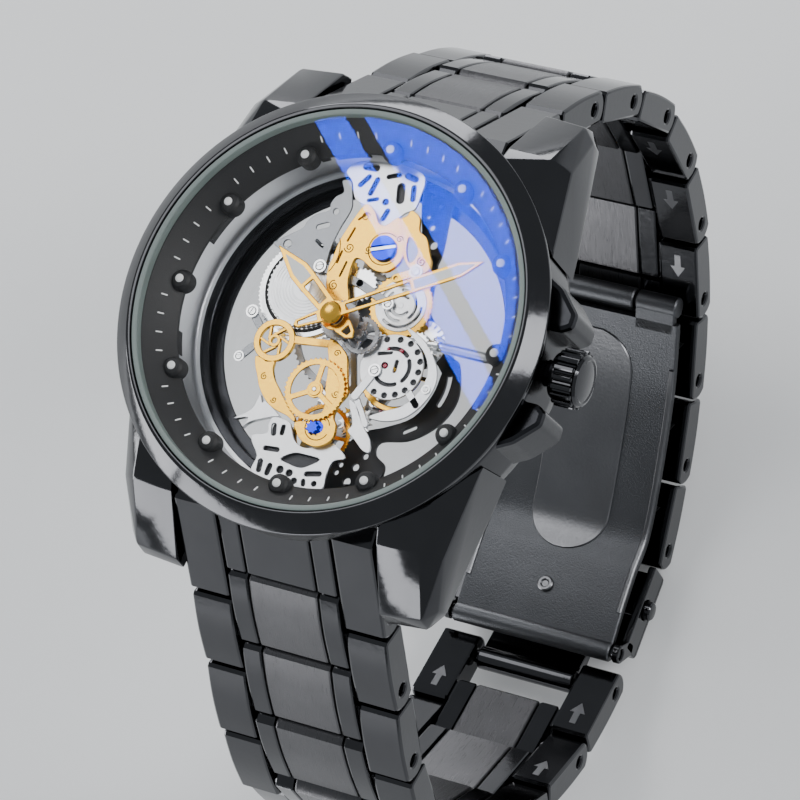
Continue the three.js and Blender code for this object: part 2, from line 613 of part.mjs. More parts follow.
// A thin wheel with upright teeth for the stem's pinion and a spur pinion for the winding wheel.
function crownWheel() {
  const { teeth, inner, outer } = CONTRATE;
  const parts = [disc(outer, 4.5, 4.6, 0, 0, 24)];
  for (let i = 0; i < teeth; i += 1) {
    const middle = ((i + 0.5) * 360) / teeth;
    parts.push(plate(arcOutline(0, 0, inner, outer - 0.05, middle - 2.2, middle + 2.2, 1), 4.57, 4.8));
  }
  const pinionRadius = windingRadius(CONTRATE_PINION_TEETH);
  parts.push(gear(CONTRATE_PINION_TEETH, pinionRadius, PHASE.contratePinion, 4.57, 5.28));
  parts.push(disc(PIVOT, 5.2, 5.6, 0, 0, 6));
  return union(parts);
}

function windingWheel() {
  const radius = windingRadius(WINDING_WHEEL.teeth);
  const wheel = gear(WINDING_WHEEL.teeth, radius, PHASE.winding, 5.0, 5.25);
  return union([wheel, disc(PIVOT, 5.2, 5.6, 0, 0, 6)]);
}

function windingIdler() {
  const wheel = gear(IDLER_TEETH, windingRadius(IDLER_TEETH), PHASE.idler, 5.0, 5.25);
  return union([wheel, disc(PIVOT, 5.2, 5.6, 0, 0, 6)]);
}

function ratchetWheel() {
  const wheel = gear(RATCHET_TEETH, windingRadius(RATCHET_TEETH), PHASE.ratchet, 5.0, 5.25);
  return union([wheel, disc(0.5, 3.8, 5.1, 0, 0, 10), disc(PIVOT, 5.2, 5.6, 0, 0, 6)]);
}

// ---------- hands ----------

// A tapering hand along +X with a tail, built flat and turned to its hour.
function hand(length, tail, half, hubRadius, bore, z0, z1, angle) {
  const outline = [
    [-tail, -half * 0.55], [-hubRadius, -half * 0.7], [hubRadius, -half * 0.7], [length * 0.55, -half],
    [length, 0], [length * 0.55, half], [hubRadius, half * 0.7], [-hubRadius, half * 0.7], [-tail, half * 0.55],
  ];
  const blade = union([plate(outline, z0, z1), disc(hubRadius, z0, z1, 0, 0, 16)]);
  return cut(blade, [disc(bore, z0 - 1, z1 + 1, 0, 0, 10)]).rotate([0, 0, angle]);
}

function hourHand() {
  return hand(8.3, 3.3, 1.0, 1.45, 0.95, 8.3, 8.6, HOUR_ANGLE);
}

function minuteHand() {
  const blade = hand(14.6, 3.7, 0.95, 1.3, 0.4, 9.15, 9.45, MINUTE_ANGLE);
  const cap = turned([[0, 9.3], [1.15, 9.3], [1.05, 9.65], [0, 9.85]], 12);
  return union([blade, cap]);
}

// ---------- bracelet ----------

// A block with a round nose about one point and a flat end at another, in the link's own plane.
function noseBlock(noseAt, flatAt, half = LINK.half, nose = LINK.nose) {
  const side = Math.sign(noseAt - flatAt);
  const widest = Math.asin(half / nose);
  const steps = NOSE_STEPS;
  const arc = Array.from({ length: steps + 1 }, (_, i) => {
    const angle = -widest + (2 * widest * i) / steps;
    return [noseAt + side * nose * Math.cos(angle), nose * Math.sin(angle)];
  });
  const points = [...arc, [flatAt, half], [flatAt, -half]];
  return side > 0 ? points : points.reverse();
}

function boxOutline(y0, y1, z0, z1) {
  return [[y0, z0], [y1, z0], [y1, z1], [y0, z1]];
}

// The centre row holds the link's own pin; the outer rows hold the holes for the next one.
function link(isLast) {
  const clear = LINK.nose + LINK.gap;
  const centreEnd = isLast ? PITCH - 4.2 : PITCH - clear;
  const centre = barX(noseBlock(0, centreEnd), -LINK.centre, LINK.centre);
  const outers = barPair(noseBlock(PITCH, clear), LINK.inner, LINK.outer);
  const bridge = barX(boxOutline(clear + 0.3, centreEnd - 0.3, -1.2, 1.2), -8, 8);
  const pin = rodX(PIN_RADIUS, -9.6, 9.6, 0, 0);
  const body = cut(outers, [rodX(PIN_HOLE, -11, 11, PITCH, 0)]);
  return union([centre, body, bridge, pin]);
}

// The first hinge of the bracelet is carried by a solid piece that fills the gap between the lugs.
function endLink() {
  const along = [Math.cos(HEADINGS_12[0] * RAD), Math.sin(HEADINGS_12[0] * RAD)];
  const outward = [-along[1], along[0]];
  const at = (t, n) => [
    FIRST_HINGE.y + t * along[0] + n * outward[0],
    FIRST_HINGE.z + t * along[1] + n * outward[1],
  ];
  const { half, nose, gap } = LINK;
  const back = [[16, 0.7], [16, 7.2], [19.7, 7.0]];
  const nosePoints = noseBlock(0, -6).slice(0, NOSE_STEPS + 1).map(([t, n]) => at(t, n)).reverse();
  const outerSide = [...back, at(-8.4, half), ...nosePoints, at(-3, -half)].reverse();
  const flatEnd = [at(-nose - gap, half), at(-nose - gap, -half)];
  const centreSide = [...back, at(-8.4, half), ...flatEnd, at(-3.4, -half)].reverse();
  const caseWall = turned([[0, -5], [CASE_RADIUS + 0.12, -5], [CASE_RADIUS + 0.12, 12], [0, 12]]);
  const outers = cut(barPair(outerSide, LINK.inner - 0.4, LINK.outer), [
    rodX(PIN_HOLE, -11, 11, FIRST_HINGE.y, FIRST_HINGE.z),
    barX(circle(nose + gap, 12, FIRST_HINGE.y, FIRST_HINGE.z), -LINK.inner, LINK.inner),
  ]);
  return cut(union([outers, barX(centreSide, -LINK.inner, LINK.inner)]), [caseWall]);
}

function chainPivots(headings) {
  const pivots = [[FIRST_HINGE.y, FIRST_HINGE.z]];
  for (const heading of headings) {
    const [y, z] = pivots[pivots.length - 1];
    pivots.push([y + PITCH * Math.cos(heading * RAD), z + PITCH * Math.sin(heading * RAD)]);
  }
  return pivots;
}

function addChain(parent, headings, prefix, lastIsOpen) {
  const pivots = chainPivots(headings);
  headings.forEach((heading, i) => {
    const made = link(lastIsOpen && i === headings.length - 1);
    const mesh = addNode(`${prefix}_${i + 1}`, made, "black", parent, [0, ...pivots[i]]);
    mesh.rotation.x = heading * RAD;
  });
  return pivots[pivots.length - 1];
}

// ---------- clasp ----------

const pivots12 = chainPivots(HEADINGS_12);
const claspStart = pivots12[pivots12.length - 1];
const claspEnd = chainPivots(HEADINGS_6).pop().map((value, i) => (i === 0 ? -value : value));
const claspSpan = Math.hypot(claspEnd[0] - claspStart[0], claspEnd[1] - claspStart[1]);
const claspAlong = [(claspEnd[0] - claspStart[0]) / claspSpan, (claspEnd[1] - claspStart[1]) / claspSpan];

// A point of the clasp: s from the last hinge of one side towards the other side, n outwards.
function claspPoint(s, n) {
  const [uy, uz] = claspAlong;
  return [claspStart[0] + s * uy - n * uz, claspStart[1] + s * uz + n * uy];
}

// A point inside the bracelet, a given way in from one of its hinges.
function insidePoint(index, offset) {
  const heading = ((HEADINGS_12[index - 1] + HEADINGS_12[index]) / 2) * RAD;
  const [y, z] = pivots12[index];
  return [y + offset * Math.sin(heading), z - offset * Math.cos(heading)];
}

const FOLD_HINGE = insidePoint(6, 3.1);
const COVER_HINGE = [13.0, -2.4];
const KNUCKLE = 1.15;
const BLADE_HALF_WIDTH = 9.2;

// A bent strip of even thickness along a path in YZ.
function strip(path, thickness, x0, x1) {
  const side = (sign) =>
    path.map(([y, z], i) => {
      const [ay, az] = path[Math.max(0, i - 1)];
      const [by, bz] = path[Math.min(path.length - 1, i + 1)];
      const length = Math.hypot(by - ay, bz - az);
      return [y - (sign * thickness * (bz - az)) / length / 2, z + (sign * thickness * (by - ay)) / length / 2];
    });
  return barX([...side(-1), ...side(1).reverse()], x0, x1);
}

function shortBlade() {
  const path = [
    insidePoint(6, 2.6), insidePoint(7, 2.5), insidePoint(8, 2.5),
    claspPoint(0, -2.5), claspPoint(2.6, -1.7), claspPoint(8, -0.7),
  ];
  const narrow = strip(path, 0.7, -6.4, 6.4);
  const knuckle = rodX(KNUCKLE, -3.9, 3.9, ...FOLD_HINGE, 10);
  const room = [4.0, -8].map((x) => rodX(KNUCKLE + 0.2, x, x + 4, ...FOLD_HINGE, 10));
  const webSide = [claspPoint(-0.9, 0), claspPoint(-0.9, -2.6), claspPoint(0.9, -2.3), claspPoint(0.9, 0)];
  const web = barX(webSide, -5.6, 5.6);
  const hub = rodX(1.5, -5.6, 5.6, ...claspStart, 10);
  const pin = rodX(PIN_RADIUS, -9.6, 9.6, ...claspStart);
  const body = cut(narrow, room);
  return cut(union([body, knuckle, web, hub, pin]), [rodX(PIN_HOLE, -9, 9, ...FOLD_HINGE)]);
}

function longBlade() {
  const path = [
    insidePoint(6, 3.7), insidePoint(7, 3.8), insidePoint(8, 3.9), claspPoint(0, -3.9), claspPoint(4.5, -3.7),
    claspPoint(9, -3.2), claspPoint(...COVER_HINGE),
  ];
  const plateBody = strip(path, 0.9, -BLADE_HALF_WIDTH, BLADE_HALF_WIDTH);
  const coverHinge = claspPoint(...COVER_HINGE);
  const room = rodX(KNUCKLE + 0.2, -4.1, 4.1, ...FOLD_HINGE, 10);
  const knuckles = [rodX(KNUCKLE, 4.2, 8.8, ...FOLD_HINGE, 10), rodX(KNUCKLE, -8.8, -4.2, ...FOLD_HINGE, 10)];
  const pins = [rodX(PIN_RADIUS, -8.6, 8.6, ...FOLD_HINGE), rodX(PIN_RADIUS, -10, 10, ...coverHinge)];
  const coverKnuckle = rodX(KNUCKLE - 0.1, -BLADE_HALF_WIDTH, BLADE_HALF_WIDTH, ...coverHinge, 10);
  return union([cut(plateBody, [room]), ...knuckles, coverKnuckle, ...pins]);
}

const BUTTON = { s: 7.0, n: -0.2, radius: 1.0 };

function claspCover() {
  const points = (list) => list.map(([s, n]) => claspPoint(s, n));
  const roofSide = [[2.6, 1.0], [2.6, 1.7], [3.1, 1.95], [11.6, 1.95], [12.0, 1.6], [12.0, 1.0]];
  const roof = barX(points(roofSide), -10.3, 10.3);
  const walls = barPair(points([[2.6, -1.7], [2.6, 1.5], [12.0, 1.5], [12.0, -1.7]]), 9.45, 10.3);
  const earSide = [[11.0, -1.3], [10.9, 0], [12.0, 0.4], [14.0, -2.0], [13.6, -3.3], [12.4, -3.4]];
  const ears = barPair(points(earSide), 9.45, 10.3);
  const neck = barX(points([[11.4, 1.0], [11.4, 1.9], [14.6, 1.7], [17.2, 0.9], [16.2, -0.6]]), -5.5, 5.5);
  const hub = rodX(1.25, -5.5, 5.5, ...claspEnd, 10);
  const holes = [
    rodX(PIN_HOLE, -11, 11, ...claspPoint(...COVER_HINGE)),
    rodX(BUTTON.radius + 0.12, -11, 11, ...claspPoint(BUTTON.s, BUTTON.n), 12),
    rodX(0.4, -11, 11, ...claspEnd),
  ];
  return cut(union([roof, walls, ears, neck, hub]), holes);
}

function claspButton(side) {
  const at = claspPoint(BUTTON.s, BUTTON.n);
  const span = (a, b) => (side > 0 ? [a, b] : [-b, -a]);
  return union([
    rodX(BUTTON.radius, ...span(8.5, 11.1), ...at, 12),
    rodX(BUTTON.radius + 0.15, ...span(8.0, 9.2), ...at, 12),
  ]);
}

// ---------- assembly ----------

addNode("case_middle", caseMiddle(), "black");
addNode("bezel", bezel(), "black");
addNode("crystal", crystal(), "glass");
addNode("crystal_gasket", crystalGasket(), "rubber");
addNode("chapter_ring", chapterRing(), "matt");
addNode("movement_ring", movementRing(), "silver");
addNode("case_back", caseBack(), "black");
addNode("rear_crystal", rearCrystal(), "glass");
addNode("crown_tube", crownTube(), "black");
addNode("crown_gasket", crownGasket(), "rubber");
addNode("crown", crown(), "black");
addNode("winding_stem", windingStem(), "silver");

addNode("support_plate", supportPlate(), "matt");
addNode("mainplate", mainplate(), "silver");
addNode("front_plate", frontPlate(), "silver");
addNode("upper_gold_bridge", goldBridgeUpper(), "gold");
addNode("lower_gold_bridge", goldBridgeLower(), "gold");
addNode("balance_cock", balanceCock(), "silver");

addNode("mainspring_barrel", barrel(), "silver", watch, [...barrelAt, 0]);
addNode("centre_wheel", centreWheel(), "silver");
addNode("third_wheel", thirdWheel(), "gold", watch, [...thirdAt, 0]);
addNode("fourth_wheel", fourthWheel(), "gold", watch, [...fourthAt, 0]);
addNode("escape_wheel", escapeWheel(), "silver", watch, [...escapeAt, 0]);
const forkMesh = addNode("pallet_fork", palletFork(), "silver", watch, [...palletAt, 0]);
forkMesh.rotation.z = directionOf(palletAt, balanceAt);
addNode("balance_wheel", balanceWheel(), "gold", watch, [...balanceAt, 0]);
addNode("hairspring", hairspring(), "steel_blue", watch, [...balanceAt, 0]);
addNode("cannon_pinion", cannonPinion(), "silver");
addNode("minute_wheel", minuteWheel(), "silver", watch, [...minuteAt, 0]);
addNode("hour_wheel", hourWheel(), "silver");
addNode("winding_pinion", windingPinion(), "silver");
addNode("crown_wheel", crownWheel(), "silver", watch, [CONTRATE.x, CONTRATE.y, 0]);
addNode("winding_wheel", windingWheel(), "gold", watch, [...windingAt, 0]);
addNode("winding_idler", windingIdler(), "silver", watch, [...idlerAt, 0]);
addNode("ratchet_wheel", ratchetWheel(), "silver", watch, [...barrelAt, 0]);
addNode("hour_hand", hourHand(), "gold");
addNode("minute_hand", minuteHand(), "gold");

const side6 = new THREE.Group();
side6.rotation.z = Math.PI;
watch.add(side6);
addNode("end_link_12", endLink(), "black");
addNode("end_link_6", endLink(), "black", side6);
addChain(watch, HEADINGS_12, "link_12", false);
addChain(side6, HEADINGS_6, "link_6", true);
addNode("clasp_short_blade", shortBlade(), "blade");
addNode("clasp_long_blade", longBlade(), "blade");
addNode("clasp_cover", claspCover(), "black");
addNode("clasp_button_right", claspButton(1), "black");
addNode("clasp_button_left", claspButton(-1), "black");

export default watch;
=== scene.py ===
# Looks of the skeleton wristwatch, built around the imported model.
# Shapes are built in millimetres in the watch's frame and become metres when a mesh is made.
import json
import math

import bmesh
import bpy
from mathutils import Matrix, Vector


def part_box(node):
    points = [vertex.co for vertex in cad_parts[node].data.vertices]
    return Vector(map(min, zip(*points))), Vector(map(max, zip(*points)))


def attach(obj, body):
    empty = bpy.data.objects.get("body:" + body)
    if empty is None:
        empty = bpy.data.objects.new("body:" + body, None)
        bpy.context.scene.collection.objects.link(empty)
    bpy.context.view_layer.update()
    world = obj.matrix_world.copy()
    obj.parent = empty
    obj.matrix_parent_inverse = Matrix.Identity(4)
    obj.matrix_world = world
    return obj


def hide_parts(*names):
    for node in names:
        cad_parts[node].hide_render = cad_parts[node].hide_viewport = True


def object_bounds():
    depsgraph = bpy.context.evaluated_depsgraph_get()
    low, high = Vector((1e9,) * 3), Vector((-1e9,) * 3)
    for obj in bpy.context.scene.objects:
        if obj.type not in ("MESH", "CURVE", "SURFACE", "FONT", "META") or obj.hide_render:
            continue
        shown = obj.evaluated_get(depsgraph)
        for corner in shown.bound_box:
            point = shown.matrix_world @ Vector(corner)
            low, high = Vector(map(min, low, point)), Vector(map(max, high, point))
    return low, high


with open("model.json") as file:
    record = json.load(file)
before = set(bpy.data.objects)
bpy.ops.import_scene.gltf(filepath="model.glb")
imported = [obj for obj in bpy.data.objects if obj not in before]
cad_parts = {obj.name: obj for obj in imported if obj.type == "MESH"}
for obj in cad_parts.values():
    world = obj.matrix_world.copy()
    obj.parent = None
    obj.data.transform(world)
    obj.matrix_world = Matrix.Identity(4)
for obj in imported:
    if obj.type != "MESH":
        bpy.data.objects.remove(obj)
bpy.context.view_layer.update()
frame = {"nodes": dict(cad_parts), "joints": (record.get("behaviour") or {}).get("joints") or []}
MM = 0.001
JOINTS = {joint["name"]: joint for joint in frame["joints"]}

# Camera: where it stands and looks, in metres, and the way that is up in the picture
CAMERA_AT = Vector((0.1581, -0.0703, 0.3274))
CAMERA_AIM = Vector((0.0090, -0.0062, 0.0086))
PICTURE_UP = Vector((-0.217, 0.932, 0.289))
LENS = 180

EDGE = 0.04  # bevel on a movement plate

# Corners of the faceted lug that stands towards +X and +Y
LUG_CORNERS = (
    (10.6, 17.6, 8.3), (10.6, 19.2, 7.2), (10.6, 24.4, 1.8), (10.6, 24.7, -0.3), (10.6, 22.4, -1.0),
    (10.6, 17.6, 0.5),
    (15.0, 14.4, 8.3), (14.9, 18.9, 7.0), (14.9, 24.0, 2.0), (14.9, 24.4, 0.0),
    (18.2, 10.0, 7.4), (16.6, 18.6, 5.4), (16.0, 22.8, 1.6), (16.0, 22.6, -0.3),
    (18.4, 9.6, 1.6), (15.9, 21.0, -0.8),
)
STEM_Z = 5.6
STUD_CIRCLE = 16.28
TICK_CIRCLE = 17.35
STEPS_ROUND = 128

# The ways the hands point at rest, in degrees from +X
MINUTE_ANGLE = 31
HOUR_ANGLE = 146

LOW_LAYER = (3.4, 3.6)  # heights of the escape wheel and the fork
BLUED_SCREW = (1.5, 7.6)  # middle of the big screw on the upper gold bridge
COCK = (5.9, -2.9)  # middle of the balance cock's disc
GOLD_RING = (-6.14, -3.08)  # middle of the lower gold bridge's ring

# Soft lights: name, place, width and height in metres, radiance, and the way up
UPRIGHT = Vector((0, 0, 1))
LIGHTS = (
    ("key", (-0.45, 0.35, 0.75), 0.5, 0.5, 3.6, Vector((0, 1, 0.2))),
    ("right_fill", (0.75, 0.25, 0.45), 0.3, 0.6, 10, UPRIGHT),
    ("left_fill", (-0.85, -0.3, 0.1), 0.5, 0.2, 10, UPRIGHT),
    ("front_fill", (-0.4, -0.8, 0.14), 0.9, 0.22, 8, UPRIGHT),
    ("back_fill", (-0.35, 0.8, 0.1), 0.6, 0.24, 10, UPRIGHT),
)
LIGHTS_AIM = Vector((0, 0, -0.01))
WORLD_COLOUR = (0.9, 0.95, 1.0, 1)
WORLD_STRENGTH = 0.42

# Blue bands on the crystal: the way they run, in degrees, and the panels that they mirror
BAND_HEADING = -43
BAND_COLOUR = (0.015, 0.08, 1.0)
BAND_RADIANCE = 75
BAND_LENGTH = 0.044
BAND_PANEL_HEIGHT = 0.6
CRYSTAL_TOP = 0.011

FLOOR_REACH = 3.0


# ---------- places ----------


def pivot(joint):
    """Where a joint stands, in millimetres."""
    return Vector(JOINTS[joint]["pos_m"]) / MM


def box(node):
    low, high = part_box(node)
    return low / MM, high / MM


def heights(node):
    low, high = box(node)
    return low.z, high.z


def polar(radius, degrees, x=0.0, y=0.0):
    angle = math.radians(degrees)
    return (x + radius * math.cos(angle), y + radius * math.sin(angle))


def spread(start, end, steps):
    return [start + (end - start) * i / steps for i in range(steps + 1)]


def arc(x, y, radius, start, end, steps=12):
    return [polar(radius, angle, x, y) for angle in spread(start, end, steps)]


def circle(x, y, radius, steps=32):
    return [polar(radius, 360 * i / steps, x, y) for i in range(steps)]


def slot(ax, ay, bx, by, width, steps=8):
    """A slot with round ends between two points."""
    along = math.degrees(math.atan2(by - ay, bx - ax))
    half = width / 2
    return arc(bx, by, half, along - 90, along + 90, steps) + arc(
        ax, ay, half, along + 90, along + 270, steps
    )


def arc_slot(x, y, radius, width, start, end, steps=14):
    """A curved slot with round ends about a centre."""
    half = width / 2
    tip = polar(radius, end, x, y)
    tail = polar(radius, start, x, y)
    return (
        arc(x, y, radius + half, start, end, steps)
        + arc(*tip, half, end, end + 180, 6)[1:-1]
        + arc(x, y, radius - half, end, start, steps)
        + arc(*tail, half, start + 180, start + 360, 6)[1:-1]
    )


def ring_part(x, y, inner, outer, start, end, steps=24):
    return arc(x, y, outer, start, end, steps) + arc(x, y, inner, end, start, steps)


def between(a, b, c, d, t):
    """A point of the smooth curve through four points, t of the way from the second to the third."""
    start = b * 2 + (c - a) * t + (a * 2 - b * 5 + c * 4 - d) * t**2
    return tuple((start + (b * 3 - a - c * 3 + d) * t**3) / 2)


def smooth(points, steps=6):
    """A closed curve through the points."""
    out = []
    count = len(points)
    for i in range(count):
        a, b, c, d = (Vector(points[(i + k - 1) % count]) for k in range(4))
        for t in (k / steps for k in range(steps)):
            out.append(between(a, b, c, d, t))
    return out


def rounded(points, radius, steps=4):
    """A closed outline with its corners rounded."""
    out = []
    count = len(points)
    for i, point in enumerate(points):
        here = Vector(point)
        before = Vector(points[i - 1]) - here
        after = Vector(points[(i + 1) % count]) - here
        reach_in = min(radius, before.length * 0.45)
        reach_out = min(radius, after.length * 0.45)
        a = here + before.normalized() * reach_in
        b = here + after.normalized() * reach_out
        for t in spread(0, 1, steps):
            out.append(tuple(a * (1 - t) ** 2 + here * 2 * t * (1 - t) + b * t**2))
    return out


def spiral(x, y, radius, turns, start, steps=26):
    return [polar(radius * (1 - 0.85 * t), start + 360 * turns * t, x, y) for t in spread(0, 1, steps)]


# ---------- shapes: a shape is its corners and its faces ----------


def joined(shapes):
    corners, faces = [], []
    for more, polygons in shapes:
        start = len(corners)
        corners += more
        faces += [[start + i for i in polygon] for polygon in polygons]
    return corners, faces


def moved(shape, matrix):
    return [matrix @ corner for corner in shape[0]], shape[1]


def at(x, y, z=0.0, turn=0.0):
    return Matrix.Translation((x, y, z)) @ Matrix.Rotation(math.radians(turn), 4, "Z")


# Turns a shape built along Z so that it lies along X, with its own X along Y
ALONG_X = Matrix(((0, 0, 1, 0), (1, 0, 0, 0), (0, 1, 0, 0), (0, 0, 0, 1)))


def plate(loops, z0, z1, edge=EDGE):
    """A plate with bevelled edges: the first loop is its outline, the others are its openings."""
    curve = bpy.data.curves.new("outline", "CURVE")
    curve.dimensions = "2D"
    curve.fill_mode = "BOTH"
    curve.extrude = (z1 - z0) / 2 - edge
    curve.bevel_depth = edge
    curve.bevel_resolution = 1
    curve.offset = -edge
    for loop in loops:
        spline = curve.splines.new("POLY")
        spline.points.add(len(loop) - 1)
        for point, (x, y) in zip(spline.points, loop):
            point.co = (x, y, 0, 1)
        spline.use_cyclic_u = True
    holder = bpy.data.objects.new("outline", curve)
    mesh = bpy.data.meshes.new_from_object(holder)
    work = bmesh.new()
    work.from_mesh(mesh)
    bmesh.ops.remove_doubles(work, verts=work.verts, dist=0.002)
    bmesh.ops.recalc_face_normals(work, faces=work.faces)
    work.verts.index_update()
    middle = Vector((0, 0, (z0 + z1) / 2))
    shape = [v.co + middle for v in work.verts], [[v.index for v in face.verts] for face in work.faces]
    work.free()
    bpy.data.objects.remove(holder)
    bpy.data.curves.remove(curve)
    bpy.data.meshes.remove(mesh)
    return shape


def bar(loops, x0, x1, edge=0.2):
    """A plate on edge: its outline is in YZ and it runs along X."""
    return moved(plate(loops, x0, x1, edge), ALONG_X)


def lathe(profile, sides=STEPS_ROUND):
    """A turned shape: a closed profile of (radius, height), anticlockwise, about Z."""
    corners, rings = [], []
    for radius, height in profile:
        if radius < 1e-6:
            rings.append([len(corners)] * sides)
            corners.append(Vector((0, 0, height)))
            continue
        rings.append(list(range(len(corners), len(corners) + sides)))
        corners += [Vector((*polar(radius, 360 * i / sides), height)) for i in range(sides)]
    faces = []
    for lower, upper in zip(rings, rings[1:] + rings[:1]):
        for i in range(sides):
            k = (i + 1) % sides
            face = list(dict.fromkeys([lower[i], lower[k], upper[k], upper[i]]))
            if len(face) > 2:
                faces.append(face)
    return corners, faces


def button_profile(radius, z0, z1, edge):
    """The profile of a disc with a rounded top edge."""
    return [
        (0, z0), (radius, z0), (radius, z1 - edge), (radius - edge * 0.3, z1 - edge * 0.3),
        (radius - edge, z1), (0, z1)
    ]


def disc(x, y, radius, z0, z1, edge=0.04, sides=32):
    return moved(lathe(button_profile(radius, z0, z1, edge), sides), at(x, y))


def rod(radius, x0, x1, y, z, edge=0.05, sides=24):
    profile = [(0, x0), (radius - edge, x0), (radius, x0 + edge), (radius, x1 - edge)]
    profile += [(radius - edge, x1), (0, x1)]
    return moved(lathe(profile, sides), Matrix.Translation((0, y, z)) @ ALONG_X)


def skin(rings):
    """A closed skin over rings that have the same number of corners."""
    sides = len(rings[0])
    corners = [corner for ring in rings for corner in ring]
    faces = []
    for start in range(0, len(corners) - sides, sides):
        for k in range(sides):
            m = (k + 1) % sides
            faces.append([start + k, start + m, start + sides + m, start + sides + k])
    faces += [list(range(sides))[::-1], list(range(len(corners) - sides, len(corners)))]
    return corners, faces


def neighbours(path, i):
    """The points before and after one of a path, or the point itself at an end."""
    return (*path[max(i - 1, 0)], *path[min(i + 1, len(path) - 1)])


def wire(points, radius, z, sides=6):
    """A thin round wire along a line in a level plane."""
    rings = []
    for i, (x, y) in enumerate(points):
        ax, ay, bx, by = neighbours(points, i)
        side = Vector((ay - by, bx - ax, 0)).normalized()
        ring = []
        for k in range(sides):
            angle = 2 * math.pi * k / sides
            rise = Vector((0, 0, radius * math.sin(angle)))
            ring.append(Vector((x, y, z)) + side * radius * math.cos(angle) + rise)
        rings.append(ring)
    return skin(rings)


def face_out(mesh):
    """Turns all of a mesh's faces outwards."""
    work = bmesh.new()
    work.from_mesh(mesh)
    bmesh.ops.recalc_face_normals(work, faces=work.faces)
    work.to_mesh(mesh)
    work.free()


def drilled(shape, tool):
    """The shape with the tool's shape cut out of it."""
    holders = [bpy.data.objects.new("cut", bpy.data.meshes.new("cut")) for _ in range(2)]
    for holder, (corners, faces) in zip(holders, (shape, tool)):
        holder.data.from_pydata(corners, [], faces)
        face_out(holder.data)
        bpy.context.scene.collection.objects.link(holder)
    step = holders[0].modifiers.new("cut", "BOOLEAN")
    step.object = holders[1]
    step.operation = "DIFFERENCE"
    step.solver = "EXACT"
    mesh = bpy.data.meshes.new_from_object(holders[0].evaluated_get(bpy.context.evaluated_depsgraph_get()))
    made = [v.co.copy() for v in mesh.vertices], [list(face.vertices) for face in mesh.polygons]
    for holder in holders:
        bpy.data.objects.remove(holder)
    bpy.data.meshes.remove(mesh)
    return made


def hull(points, edge=0.16):
    """The faceted solid round some corners, with its edges rounded."""
    work = bmesh.new()
    for point in points:
        work.verts.new(point)
    made = bmesh.ops.convex_hull(work, input=work.verts)
    loose = [item for item in made["geom_interior"] if isinstance(item, bmesh.types.BMVert)]
    bmesh.ops.delete(work, geom=loose, context="VERTS")
    bmesh.ops.dissolve_limit(work, angle_limit=math.radians(4), verts=work.verts, edges=work.edges)
    bmesh.ops.bevel(work, geom=list(work.edges), offset=edge, segments=2, affect="EDGES", profile=0.5)
    work.verts.index_update()
    shape = [v.co.copy() for v in work.verts], [[v.index for v in face.verts] for face in work.faces]
    work.free()
    return shape


def mesh_of(name, shape, angle=20):
    """A mesh in metres with smooth shading up to an angle."""
    corners, faces = shape
    mesh = bpy.data.meshes.new(name)
    mesh.from_pydata([corner * MM for corner in corners], [], faces)
    face_out(mesh)
    mesh.polygons.foreach_set("use_smooth", [True] * len(mesh.polygons))
    mesh.set_sharp_from_angle(angle=math.radians(angle))
    return mesh


def piece(name, made, body, finish, stands_for=(), place=None):
    """Puts a shape, a list of shapes or a shared mesh in the scene and on its CAD body."""
    material, record_slot = finish
    if isinstance(made, list):
        made = joined(made)
    mesh = made if isinstance(made, bpy.types.Mesh) else mesh_of(name, made)
    if not mesh.materials:
        mesh.materials.append(material)
    thing = bpy.data.objects.new(name, mesh)
    bpy.context.scene.collection.objects.link(thing)
    if place is not None:
        metres = place.copy()
        metres.translation = place.translation * MM
        thing.matrix_world = metres
    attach(thing, body)
    if stands_for:
        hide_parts(*stands_for)
    return thing


# ---------- materials ----------


def surface(name, colour, metallic, roughness, grain, spread_by=0.06, stretch=(1, 1, 1), bump=0.0, tint=0.12):
    """A finish whose colour, gloss and relief vary with a fine grain; grain is its size in millimetres."""
    material = bpy.data.materials.new(name)
    material.use_nodes = True
    tree = material.node_tree
    shader = tree.nodes["Principled BSDF"]
    shader.inputs["Metallic"].default_value = metallic
    coordinates = tree.nodes.new("ShaderNodeTexCoord")

    def noise(size, ratios, detail):
        mapping = tree.nodes.new("ShaderNodeMapping")
        mapping.inputs["Scale"].default_value = [1 / (size * MM * ratio) for ratio in ratios]
        texture = tree.nodes.new("ShaderNodeTexNoise")
        texture.inputs["Scale"].default_value = 1
        texture.inputs["Detail"].default_value = detail
        tree.links.new(coordinates.outputs["Object"], mapping.inputs["Vector"])
        tree.links.new(mapping.outputs["Vector"], texture.inputs["Vector"])
        return texture.outputs["Fac"]

    fine = noise(grain, stretch, 4)
    broad = noise(4, (1, 1, 1), 2)
    gloss = tree.nodes.new("ShaderNodeMapRange")
    gloss.inputs["To Min"].default_value = max(roughness - spread_by, 0)
    gloss.inputs["To Max"].default_value = roughness + spread_by
    tree.links.new(fine, gloss.inputs["Value"])
    tree.links.new(gloss.outputs["Result"], shader.inputs["Roughness"])
    shades = tree.nodes.new("ShaderNodeMix")
    shades.data_type = "RGBA"
    shades.inputs["A"].default_value = (*[c * (1 - tint) for c in colour], 1)
    shades.inputs["B"].default_value = (*[min(c * (1 + tint), 1) for c in colour], 1)
    tree.links.new(broad, shades.inputs["Factor"])
    tree.links.new(shades.outputs["Result"], shader.inputs["Base Color"])
    if bump:
        relief = tree.nodes.new("ShaderNodeBump")
        relief.inputs["Strength"].default_value = bump
        relief.inputs["Distance"].default_value = grain * MM * 0.5
        tree.links.new(fine, relief.inputs["Height"])
        tree.links.new(relief.outputs["Normal"], shader.inputs["Normal"])
    return material


